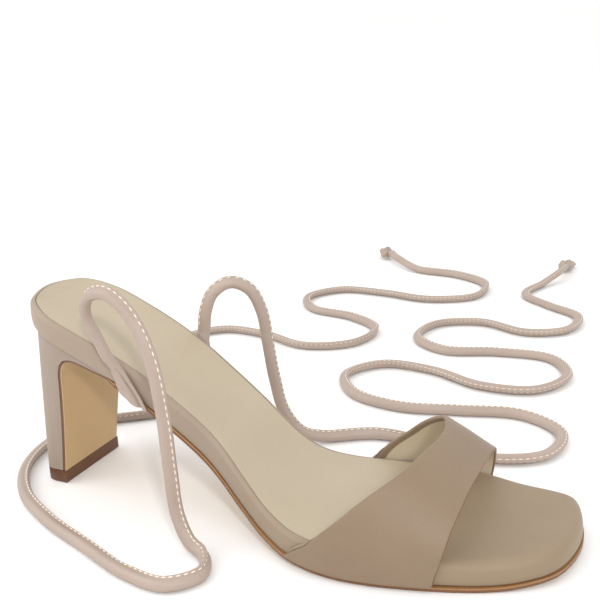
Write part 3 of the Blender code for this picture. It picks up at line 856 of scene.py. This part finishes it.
class SANDAL_OT_stage(bpy.types.Operator):
    """Set up the camera, the floor and the studio light"""

    bl_idname = "sandal.stage"
    bl_label = "Stage"

    def execute(self, context):
        chosen = settings("stage")
        self.camera(context)
        self.floor(chosen)
        self.light(context, chosen)
        return {"FINISHED"}

    def camera(self, context):
        """The point of view, in front of the shoe's outer side."""
        place = Vector(np.array(CAMERA_SPOT) * MM + SHIFT)
        yaw, pitch, roll = CAMERA_TURNS
        level = math.cos(pitch)
        ahead = Vector((math.sin(yaw) * level, math.cos(yaw) * level, -math.sin(pitch)))
        beside = ahead.cross(Vector(UP)).normalized()
        above = beside.cross(ahead)
        right, up = turned(beside, above, roll)
        camera = bpy.data.objects.new("camera", bpy.data.cameras.new("camera"))
        stand = Matrix((right, up, -ahead)).transposed().to_4x4()
        stand.translation = place
        camera.matrix_world = stand
        camera.data.sensor_width = SENSOR
        camera.data.lens = LENS
        camera.data.clip_start = 10 * MM
        context.scene.collection.objects.link(camera)
        context.scene.camera = camera

    def floor(self, chosen):
        """One wide plain sheet."""
        finish = Finish("floor", chosen.floor, 0.85, Specular_IOR_Level=0.2)
        form = bmesh.new()
        bmesh.ops.create_grid(form, x_segments=1, y_segments=1, size=FLOOR_REACH)
        piece = place_mesh("floor", form, [finish.material], 30.0)

    def light(self, context, chosen):
        """An even sky, a wide sun and lamps beside the heel, behind and beside the camera."""
        world = bpy.data.worlds.new("studio")
        world.use_nodes = True
        sky = world.node_tree.nodes["Background"]
        sky.inputs["Color"].default_value = (1.0, 1.0, 1.0, 1.0)
        sky.inputs["Strength"].default_value = chosen.sky
        context.scene.world = world
        context.scene.view_settings.view_transform = "Standard"
        overhead = bpy.data.lights.new("sun", "SUN")
        overhead.energy = chosen.sun
        overhead.angle = SUN_ANGLE
        self.hang(context, overhead, SUN_SPOT)
        for name, setting, size, spot in LAMPS:
            lamp = bpy.data.lights.new(name, "AREA")
            lamp.energy = getattr(chosen, setting)
            lamp.size = size
            self.hang(context, lamp, spot)

    def hang(self, context, lamp, spot):
        """Place a lamp so that it looks at the middle of the shoe."""
        holder = bpy.data.objects.new(lamp.name, lamp)
        holder.location = spot
        holder.rotation_euler = (-Vector(spot)).to_track_quat("-Z", "Y").to_euler()
        context.scene.collection.objects.link(holder)


class SANDAL_OT_ties(bpy.types.Operator):
    """Build the two rolled ties with their stitches, knots and tabs"""

    bl_idname = "sandal.ties"
    bl_label = "Ties"

    def execute(self, context):
        chosen = settings("tie")
        self.skin = tie_leather("tie_leather")
        thread = Finish("tie_thread", chosen.thread, 0.6)
        twist = thread.noise(*TWIST)
        thread.set("Roughness", 0.5 + twist * 0.25)
        thread.set("Normal", thread.bump(twist, 0.03 * MM))
        self.thread = thread.material
        rows = (
            ("lateral", False, TAB_HEAD_LATERAL, TIE_DROP_LATERAL, TIE_LAY_LATERAL, chosen.lateral),
            ("medial", True, TAB_HEAD_MEDIAL, TIE_DROP_MEDIAL, TIE_LAY_MEDIAL, chosen.medial),
        )
        for side, inner, head_share, drop, lay, length in rows:
            head = tab_head(inner, head_share)
            route = tie_route(head, inner, drop, lay)
            tie, stitches, start = self.roll("tie_%s" % side, route, chosen)
            knot = self.knot("tie_knot_%s" % side, route, chosen)
            self.tab("tie_tab_%s" % side, inner, head, start)
            settle(tie, "tie_taupe", "tie_%s" % side)
            settle(stitches, "tie_taupe")
            settle(knot, "tie_taupe", "tie_knot_%s" % side)
        return {"FINISHED"}

    def profile(self, chosen):
        """Section of a tie: a round core with a sewn edge on one side."""
        turns = np.linspace(CORE_OPENING, 2 * math.pi - CORE_OPENING, CORE_POINTS)
        core = [(chosen.core * math.cos(turn), chosen.core * math.sin(turn)) for turn in turns]
        return core + [(chosen.flange * reach, EDGE_HALF * half) for reach, half in SEWN_EDGE]

    def turn_of(self, along):
        """How far the sewn edge is turned up from level, wandering along the tie."""
        hanging = 1.0 - clamp((along - HANGING) / HANGING_END)
        wave = WAVE[0] * math.sin(along * WAVE[1])
        ripple = RIPPLE[0] * math.sin(along * RIPPLE[1] + 1.0)
        return EDGE_TURN + wave + ripple + HANGING_TURN * hanging

    def carry(self, path, section, far_size=1.0):
        """The loops of a section carried along a path, drawn in to far_size at its end."""
        across, up = tube_frames(path)[1:]
        walked = walk(path)
        loops = []
        for index, spot in enumerate(path):
            side, over = turned(across[index], up[index], self.turn_of(walked[index]))
            size = far_size + (1 - far_size) * min(1.0, (walked[-1] - walked[index]) / END_REACH)
            loops.append([spot + (side * a + over * b) * size for a, b in section])
        return loops

    def sweep(self, name, loops):
        """A closed roll of leather through loops."""
        return loft(name, loops, [self.skin], cap_start=True, cap_end=True, crease=50.0)

    def roll(self, name, route, chosen):
        """One tie with a row of stitches on either face of its sewn edge."""
        length = float(np.sum(np.linalg.norm(np.diff(route, axis=0), axis=1)))
        path = evenly(route, int(length / TIE_STEP))
        loops = self.carry(path, self.profile(chosen))
        tie = self.sweep(name + "_roll", loops)
        along, across, up = tube_frames(path)
        walked = np.linspace(0.0, length, len(path))
        count = int((length - STITCH_MARGIN) / chosen.pitch)
        form = bmesh.new()
        for number in range(count):
            place = STITCH_START + number * chosen.pitch
            spot, run, side, rise = (
                np.array([np.interp(place, walked, line[:, axis]) for axis in range(3)])
                for line in (path, along, across, up))
            outward, over = turned(side, rise, self.turn_of(place))
            for face in (1.0, -1.0):
                middle = spot + outward * chosen.flange * STITCH_SEAT + over * face * STITCH_LIFT
                self.stitch(form, middle + SHIFT, run, outward, over * face, chosen.stitch)
        return tie, place_mesh(name + "_stitches", form, [self.thread], 60.0), loops[0]

    def stitch(self, form, middle, run, side, rise, length):
        """One sunken stitch, a small flattened bead."""
        run = run / np.linalg.norm(run)
        poles = [form.verts.new(middle + run * length / 2 * end) for end in (-1.0, 1.0)]
        rings = []
        for share, size in STITCH_RINGS:
            ring = []
            for step in range(STITCH_SIDES):
                turn = 2 * math.pi * step / STITCH_SIDES
                wide = side * math.cos(turn) * STITCH_WIDTH
                high = rise * math.sin(turn) * STITCH_HEIGHT
                place = middle + run * length / 2 * share + (wide + high) * size
                ring.append(form.verts.new(place))
            rings.append(ring)
        for step in range(STITCH_SIDES):
            ahead = (step + 1) % STITCH_SIDES
            form.faces.new((poles[0], rings[0][ahead], rings[0][step]))
            form.faces.new((poles[1], rings[2][step], rings[2][ahead]))
            for ring, following in zip(rings, rings[1:]):
                form.faces.new((ring[step], ring[ahead], following[ahead], following[step]))

    def knot(self, name, route, chosen):
        """An overhand knot drawn tight, and the short tip beyond it."""
        end = route[-1]
        ahead = route[-1] - route[-2]
        level = np.array([ahead[0], ahead[1], 0.0])
        level /= np.linalg.norm(level)
        across = np.array([-level[1], level[0], 0.0])
        middle = end + level * (KNOT / 2 + GAP)
        middle[2] = KNOT_MIDDLE
        stations = [end + level * GAP, end + level * KNOT_LEAD]
        for turn in np.linspace(math.pi + KNOT_OPENING, 3 * math.pi - KNOT_OPENING, KNOT_TURNS):
            x = KNOT_UNIT * (math.sin(turn) + 2 * math.sin(2 * turn))
            y = KNOT_UNIT * (math.cos(turn) - 2 * math.cos(2 * turn) + KNOT_LEAN)
            z = -KNOT_WEAVE * math.sin(3 * turn)
            stations.append(middle + level * x + across * y + UP * z)
        for reach, height in KNOT_END:
            stations.append(np.array([*(end + level * reach)[:2], height]))
        path = through_points(stations, KNOT_SPLIT)
        path[:, 2] = np.maximum(path[:, 2], KNOT_LOWEST)
        path = evenly(path, KNOT_STEPS)
        section = [(a * KNOT_THICKNESS, b * KNOT_THICKNESS) for a, b in self.profile(chosen)]
        return self.sweep(name + "_overhand", self.carry(path, section, KNOT_FAR_SIZE))

    def tab(self, name, inner, head, start):
        """The pressed tab: the tie flattens down the footbed's wall and is caught by the sole."""
        side = sign_of(inner)
        around = np.vstack([start, start[:1]])
        ring = np.vstack([np.linspace(a, b, TAB_SPLIT, endpoint=False)
                          for a, b in zip(around, around[1:])])
        offsets = ring - head
        turns = np.arctan2(side * offsets[:, 1], offsets[:, 0])
        loops = []
        for row in range(TAB_ROWS + 1):
            share = row / TAB_ROWS
            eased = ease(share)
            rolled = ease(clamp((share - TAB_ROLLED) / (1 - TAB_ROLLED)))
            foot_x = TAB_FOOT * LENGTH
            x = foot_x + (head[0] - foot_x) * share
            low = bed_bottom(x) - GAP
            z = low + (head[2] - low) * share - TAB_DROP * (1 - share) ** 3
            half_width = (TAB_WIDTH + (TIE - TAB_WIDTH) * eased) / 2
            half_depth = (TAB_THICKNESS + (TIE - TAB_THICKNESS) * eased) / 2
            wall = side_at(x, inner, GAP)
            fall = (bed_bottom(x - SLOPE_REACH) - bed_bottom(x + SLOPE_REACH)) / (2 * SLOPE_REACH)
            loop = []
            for turn, offset in zip(turns, offsets):
                along = half_width * math.cos(turn)
                raised = max(0.0, math.sin(turn))
                pleat = PLEAT * math.exp(-((math.cos(turn) - PLEAT_PLACE) / PLEAT_WIDTH) ** 2)
                hem = HEM * math.exp(-((math.cos(turn) - HEM_PLACE) / HEM_WIDTH) ** 2)
                out = half_depth * (1 + math.sin(turn)) + (hem - pleat) * (1 - rolled) * raised
                y = side_at(x + along, inner, GAP) + side * out
                flat = np.array([x + along, y, z - along * fall])
                line = np.array([x, wall + (head[1] - wall) * rolled, z])
                loop.append(flat * (1 - rolled) + (line + offset) * rolled)
            loops.append(loop)
        settle(self.sweep(name + "_pressed", loops), "tie_taupe", name)


def tab_head(inner, head_share):
    """The point where a tie leaves its tab."""
    x = head_share * LENGTH
    y = side_at(x, inner, 2 * GAP) + sign_of(inner) * TIE / 2
    return np.array([x, y, bed_top(x) + TAB_RISE + 2 * GAP])


def tie_route(head, inner, drop, lay):
    """The line of a tie: up out of its tab, over and down, then along the floor."""
    x, y, z = head
    side = sign_of(inner)
    fall = [(x + ahead * MM, y + side * out * MM, z * share) for ahead, out, share in drop]
    heights = [FLOOR_LINE] * (len(lay) - 2) + [KNOT_LINE] * 2
    floor = [(x * MM, y * MM, height) for (x, y), height in zip(lay, heights)]
    route = through_points([head] + fall + floor, ROUTE_STEPS)
    route[:, 2] = np.maximum(route[:, 2], FLOOR_LINE)
    return route


class SANDAL_OT_footbed(bpy.types.Operator):
    """Build the padded footbed and the sheet let into its top"""

    bl_idname = "sandal.footbed"
    bl_label = "Footbed"

    def execute(self, context):
        chosen = settings("sole")
        # A dark edge finish on the foot of the wall: painted shade along its seam with the sole
        seam_shade = edge_dye("footbed_tuck_dye", chosen.edge_line, chosen.tip_shade, 0.6)
        # The cover darkens from the rear colour to the toe's: painted shade toward the toe
        bed = self.cover([cover_leather("footbed_leather", "rear", "taupe"), seam_shade])
        settle(bed, "upper_taupe", "footbed")
        sock = self.sock(cream_leather("sock_lining_leather", "sock"))
        settle(sock, "lining_cream", "sock_lining")
        return {"FINISHED"}

    def across(self, left, right, drop):
        """Points from side to side over the bed, with its dish, a drop below its top."""
        depth = min(1.0, float(np.linalg.norm(right - left)) / DISH_SPAN)
        points = []
        for step in range(BED_PANELS + 1):
            share = step / BED_PANELS
            spot = left * (1 - share) + right * share
            dish = depth * (1.0 - (2 * share - 1) ** 2) if 0 < step < BED_PANELS else 0.0
            points.append((spot[0], spot[1], bed_top(spot[0], dish) - drop))
        return points

    def cover(self, finishes):
        """The wrapped footbed with its round upper edge and full wall."""
        round_turns, tuck_turns = quarter(ROUND_STEPS), quarter(TUCK_STEPS)
        loops = []
        for row in range(ROWS + 1):
            walls = [[], []]
            radius = shoulder_at(max(spot[0] for spot in sides(row, 0.0)))
            lip = max(SOCK_INSET - GAP, radius)
            for turn in round_turns:
                fall = radius * (1 - math.cos(turn))
                for wall, (x, y) in zip(walls, sides(row, radius * (1 - math.sin(turn)))):
                    wall.append((x, y, bed_top(x) - fall))
            for share in WALL_SHARES:
                fuller = WALL_FULLNESS * math.sin(math.pi * share)
                for wall, (x, y) in zip(walls, sides(row, -fuller)):
                    high = bed_top(x) - radius
                    low = bed_bottom(x) + LOWER_CORNER
                    wall.append((x, y, high + (low - high) * share))
            for turn in tuck_turns:
                rise = LOWER_CORNER * (1 - math.sin(turn))
                for wall, (x, y) in zip(walls, sides(row, LOWER_CORNER * (1 - math.cos(turn)))):
                    wall.append((x, y, bed_bottom(x) + rise))
            left, right = sides(row, lip)
            sunk = SOCK_DEPTH if max(left[0], right[0]) < SOCK_END * LENGTH else 0.0
            floor = self.across(left, right, sunk)
            start, end = [(x, y, bed_top(x)) for x, y in (left, right)]
            loops.append([start] + floor + [end] + walls[1] + walls[0][::-1])
        first = BED_PANELS + 3 + len(round_turns) + len(WALL_SHARES)
        # The lowest faces of the tuck on either side take the dark finish: painted shade along the
        # seam with the sole
        seam_shaded_faces = range(first + 3, first + 2 * len(tuck_turns) - 4)
        return loft("footbed_cover", loops, finishes, lambda row, at: 1 if at in seam_shaded_faces else 0)

    def sock(self, finish):
        """The lining sheet, crowned a little and rounded at its edge."""
        thickness = SOCK_DEPTH + SOCK_PROUD - GAP
        loops = []
        for row in range(ROWS + 1):
            left, right = sides(row, SOCK_INSET)
            if max(left[0], right[0]) >= SOCK_END * LENGTH - 2 * GAP:
                break
            top = self.across(left, right, -SOCK_PROUD)
            inner_left, inner_right = sides(row, SOCK_INSET + SOCK_ROUND)
            crown = self.across(inner_left, inner_right, -SOCK_PROUD - SOCK_CROWN)
            low_left, low_right = [(x, y, z - SOCK_ROUND) for x, y, z in (top[0], top[-1])]
            under = [(x, y, z - thickness) for x, y, z in top[::-1]]
            loops.append([low_left] + crown + [low_right] + under)
        return loft("sock_lining_sheet", loops, [finish], cap_end=True)


class SANDAL_OT_strap(bpy.types.Operator):
    """Build the front strap with its folded edges and lining"""

    bl_idname = "sandal.strap"
    bl_label = "Front strap"

    def execute(self, context):
        # The strap's darker copy of the taupe leather is partly painted shade on its sideways face
        outer = cover_leather("strap_leather", "strap")
        # The lining's brighter copy of the cream is painted light in the strap's shade
        lining = cream_leather("strap_lining_leather", "lining")
        chosen = settings("sole")
        # The brown line on the strap's front edge is partly its dye and partly painted shade of the
        # fold
        dye_and_fold_shade = edge_dye("strap_edge_dye", chosen.edge_line, chosen.tip, 0.5)
        strap = self.band([outer, lining, dye_and_fold_shade])
        settle(strap, "upper_taupe", "front_strap")
        # The fold takes the toe's darker taupe, darker than the wall around it: painted shade in
        # the crease of the fold
        fold = cover_leather("strap_fold_leather", "taupe")
        for side, inner in (("lateral", False), ("medial", True)):
            settle(self.fold("strap_fold_%s" % side, inner, fold), "upper_taupe")
        return {"FINISHED"}

    def fold(self, name, inner, finish):
        """The small crescent where the footbed's cover is folded in behind the strap's foot."""
        loops = []
        for share in np.linspace(0.0, 1.0, FOLD_ROWS):
            low = FOLD_START + FOLD_SPAN * share
            over = 1 - low if inner else low
            place = self.spot(over, 0.0)
            out = self.outward(over, 0.0)
            size = FOLD_SIZE * math.sin(math.pi * share) ** FOLD_TAPER
            back = np.array([FOLD_BACK * size, 0.0, -FOLD_RISE * size])
            middle = place - out * (STRAP_WALL * FOLD_SUNK) - back
            loop = []
            for turn in np.linspace(0.0, 2 * math.pi, FOLD_SIDES, endpoint=False):
                around = out * math.cos(turn) + UP * math.sin(turn)
                loop.append(middle + around * size)
            loops.append(loop)
        return loft(name, loops, [finish])

    def spot(self, over, share):
        """A place on the strap's outer face, over the foot and then from rear to front."""
        rear = smooth(STRAP_EDGES, over, 1)
        front = smooth(STRAP_EDGES, over, 2)
        x = (rear + (front - rear) * share) * LENGTH
        reach = GAP + STRAP_WALL
        outer = side_at(x, False, reach)
        inner = side_at(x, True, reach)
        middle = (outer + inner) / 2
        half = (inner - outer) / 2
        turn = math.pi * clamp((over - STRAP_SIDE) / (1 - 2 * STRAP_SIDE))
        spring = bed_top(x)
        crown = smooth(STRAP_CROWN, x / LENGTH) * STRAP_HEIGHT
        y = middle - half * math.cos(turn) + STRAP_LEAN * math.sin(turn) ** 2
        z = spring + (crown - spring) * math.sin(turn)
        upright = min(over, 1 - over, STRAP_SIDE) / STRAP_SIDE
        base = bed_bottom(x)
        return np.array([x, y, base + (z - base) * upright])

    def outward(self, over, share):
        """The way out of the strap's face."""
        ahead = self.spot(over, min(share + PROBE, 1.0)) - self.spot(over, max(share - PROBE, 0.0))
        up = self.spot(min(over + PROBE, 1.0), share) - self.spot(max(over - PROBE, 0.0), share)
        out = np.cross(ahead, up)
        if min(over, 1 - over) < STRAP_SIDE:
            out[2] = 0.0
        return out / np.linalg.norm(out)

    def band(self, finishes):
        """One closed band: the outer face, a round folded edge, the lined inner face."""
        edge = STRAP_WALL / 2
        steps = [edge * share for share in ROUND_SHARES]
        loops = []
        for row in range(STRAP_ROWS + 1):
            over = row / STRAP_ROWS
            width = float(np.linalg.norm(self.spot(over, 1.0) - self.spot(over, 0.0)))
            inward = [(step / width, edge - math.sqrt(edge ** 2 - (edge - step) ** 2))
                      for step in steps]
            middle = np.linspace(EDGE_SPAN / width, 1 - EDGE_SPAN / width, STRAP_PANELS)
            stations = inward + [(share, 0.0) for share in middle]
            stations += [(1 - share, depth) for share, depth in inward[::-1]]
            outside = []
            inside = []
            for share, depth in stations:
                place = self.spot(over, share)
                out = self.outward(over, share)
                outside.append(place - out * depth)
                inside.append(place - out * (STRAP_WALL - depth))
            loops.append(outside + inside[::-1])
        count = len(loops[0]) // 2
        lined = count + len(steps) - 2
        kinds = {at: 1 for at in range(lined, 2 * count - len(steps) - 2)}
        # The front edge and the last panels before it take the brown line: partly dye, partly
        # painted fold shade
        kinds.update({at: 2 for at in range(count - DYE_AND_SHADE_PANELS, lined)})
        return loft("strap_band", loops, finishes, lambda row, at: kinds.get(at, 0),
                    cap_start=True, cap_end=True)


def breast_path():
    """Side view of the heel's underside, from the top piece up the breast and along the rim."""
    foot = Vector((HEEL_BACK + HEEL_DEPTH, TOP_PIECE + GAP))
    rim_back = foot.x + BREAST_LEAN
    corner = Vector((rim_back, bed_bottom(rim_back) - RIM_BACK))
    nose = Vector((HEEL_REACH, bed_bottom(HEEL_REACH) - GAP - RIM_FRONT))
    up = (corner - foot).normalized()
    along = (nose - corner).normalized()
    start = corner - up * BREAST_FILLET
    end = corner + along * BREAST_FILLET
    path = [foot.lerp(start, step / BREAST_STEPS) for step in range(BREAST_STEPS)]
    for step in range(FILLET_STEPS + 1):
        share = step / FILLET_STEPS
        path.append(start.lerp(corner, share).lerp(corner.lerp(end, share), share))
    path += [end.lerp(nose, step / BREAST_STEPS) for step in range(1, BREAST_STEPS + 1)]
    return path


def heel_half_width(x, z):
    """Half width of the heel: its foot's width, spreading to the seat it carries."""
    seat = min(abs(side_at(x, inner, -HEEL_INSET)) for inner in (False, True))
    share = clamp(z / bed_bottom(x))
    return HEEL_WIDTH / 2 + (seat - HEEL_WIDTH / 2) * share ** HEEL_SPREAD


def heel_foot_curve(count):
    """Plan of the heel's foot, from the middle of its rounded back to the front outer corner."""
    half = HEEL_WIDTH / 2
    corner = [(HEEL_BACK + depth * HEEL_CORNER, reach * half) for depth, reach in HEEL_FOOT]
    corner.append((HEEL_BACK + HEEL_DEPTH, half))
    return evenly(through_points(corner, CURVE_STEPS), count)


class SANDAL_OT_heel(bpy.types.Operator):
    """Build the covered heel and the hard piece that it stands on"""

    bl_idname = "sandal.heel"
    bl_label = "Heel"

    def execute(self, context):
        settle(self.cover(cover_leather("heel_leather", "heel")), "upper_taupe", "heel_block")
        chosen = settings("sole")
        finish = moulded("heel_tip_rubber", chosen.tip, chosen.tip_shade, 0.42)
        settle(self.tip(finish), "top_piece_brown", "top_piece")
        return {"FINISHED"}

    def cover(self, finish):
        """The slab heel with the thin rim that runs forward under the seat."""
        foot = [(x, y, TOP_PIECE + GAP) for x, y in heel_foot_curve(HEEL_FOOT_STEPS)]
        climb = [(spot.x, heel_half_width(spot.x, spot.y), spot.y) for spot in breast_path()[1:]]
        lower = foot + climb
        seat = [sides(row, HEEL_INSET)[0] for row in range(ROWS)]
        seat = [spot for spot in seat if spot[0] <= HEEL_REACH]
        seat.append((HEEL_REACH, side_at(HEEL_REACH, False, -HEEL_INSET)))
        upper = evenly(np.array(seat), len(lower))
        loops = []
        for low, (x, y) in zip(lower, upper):
            top = (x, -y, bed_bottom(x) - GAP)
            line = []
            for row in range(HEEL_ROWS + 1):
                share = row / HEEL_ROWS
                flare = share ** HEEL_FLARE
                parts = (flare, flare, share)
                line.append([a + (b - a) * part for a, b, part in zip(low, top, parts)])
            loops.append([(x, -y, z) for x, y, z in line] + line[::-1])
        return loft("heel_cover", loops, [finish], cap_end=True)

    def tip(self, finish):
        """The top piece, its edges eased."""
        side = heel_foot_curve(TIP_STEPS)
        front = side[-1][0] + GAP + FLAP
        half = [tuple(spot) for spot in side[1:]] + [(front, side[-1][1])]
        plan = np.array([(x, -y) for x, y in half] + half[::-1] + [(side[0][0], 0.0)])
        middle = (plan.min(axis=0) + plan.max(axis=0)) / 2
        reach = (plan.max(axis=0) - plan.min(axis=0)) / 2
        loops = []
        for height, inset in TIP_SECTION:
            shrink = 1 - inset * MM / reach
            loops.append([(*(middle + (spot - middle) * shrink), height * MM) for spot in plan])
        return loft("heel_tip", loops, [finish], cap_start=True, cap_end=True, crease=30.0)


class SANDAL_OT_sole(bpy.types.Operator):
    """Build the thin leather sole, turned down over the breast of the heel"""

    bl_idname = "sandal.sole"
    bl_label = "Sole"

    def execute(self, context):
        chosen = settings("sole")
        finishes = [
            leather("sole_face_leather", (chosen.tan, chosen.tan_shade), 0.5, grain=0.4 * MM,
                    depth=0.02 * MM),
            edge_dye("sole_edge_dye", chosen.edge, chosen.edge_line, 0.45),
            edge_dye("sole_edge_line", chosen.edge_line, chosen.tip_shade, 0.45),
        ]
        under = self.under()
        sole = loft("sole_leather", under + self.flap(), finishes,
                    lambda row, at: (SOLE_KINDS if row < len(under) else FLAP_KINDS).get(at, 0),
                    cap_end=True, crease=32.0)
        settle(sole, "sole_tan", "outsole")
        return {"FINISHED"}

    def under(self):
        """The rows of the flat sole, from the toe back to the front of the heel."""
        loops = []
        for row in range(ROWS, 0, -1):
            margin = smooth(SOLE_MARGIN, RING[row][0] / LENGTH)
            full = sides(row, -margin)
            if max(spot[0] for spot in full) < HEEL_REACH + SOLE_RETURN:
                break
            near = sides(row, -margin + EDGE_INSET)
            loop = []
            for side, eased, share in SOLE_SECTION:
                x, y = (near if eased else full)[side]
                low = sole_height(x)
                loop.append((x, y, low + (bed_bottom(x) - GAP - low) * share))
            loops.append(loop)
        return loops

    def flap(self):
        """The rows of the flap, along the heel's rim and down its breast."""
        path = breast_path()[::-1]
        loops = []
        for index, spot in enumerate(path):
            ahead = path[min(index + 1, len(path) - 1)]
            behind = path[max(index - 1, 0)]
            run = (ahead - behind).normalized()
            off = Vector((-run.y, run.x))
            if off.x < 0 and off.y > 0:
                off = -off
            half = heel_half_width(spot.x, spot.y) - FLAP_INSET
            loop = []
            for side, eased, depth in FLAP_SECTION:
                place = spot + off * (GAP + FLAP * depth)
                loop.append((place.x, side * (half - FLAP_EASE * eased), place.y))
            loops.append(loop)
        return loops


OPERATORS = (
    SANDAL_OT_stage,
    SANDAL_OT_ties,
    SANDAL_OT_footbed,
    SANDAL_OT_strap,
    SANDAL_OT_heel,
    SANDAL_OT_sole,
)


class SANDAL_PT_pieces(bpy.types.Panel):
    """Lists the sandal's pieces and their settings"""

    bl_label = "Lace up sandal"
    bl_idname = "SANDAL_PT_pieces"
    bl_space_type = "VIEW_3D"
    bl_region_type = "UI"
    bl_category = "Sandal"

    def draw(self, context):
        for operator in OPERATORS:
            self.layout.operator(operator.bl_idname)
        for group in SETTINGS:
            name = short_name(group)
            box = self.layout.box()
            box.label(text=name.capitalize())
            for key in group.__annotations__:
                box.prop(settings(name), key)


def register():
    for group in SETTINGS:
        bpy.utils.register_class(group)
        setattr(bpy.types.Scene, "sandal_" + short_name(group), PointerProperty(type=group))
    for kind in OPERATORS + (SANDAL_PT_pieces,):
        bpy.utils.register_class(kind)


def unregister():
    for kind in (SANDAL_PT_pieces,) + OPERATORS[::-1]:
        bpy.utils.unregister_class(kind)
    for group in SETTINGS[::-1]:
        delattr(bpy.types.Scene, "sandal_" + short_name(group))
        bpy.utils.unregister_class(group)


def main():
    register()
    for operator in OPERATORS:
        group, name = operator.bl_idname.split(".")
        getattr(getattr(bpy.ops, group), name)()


if __name__ == "__main__":
    main()
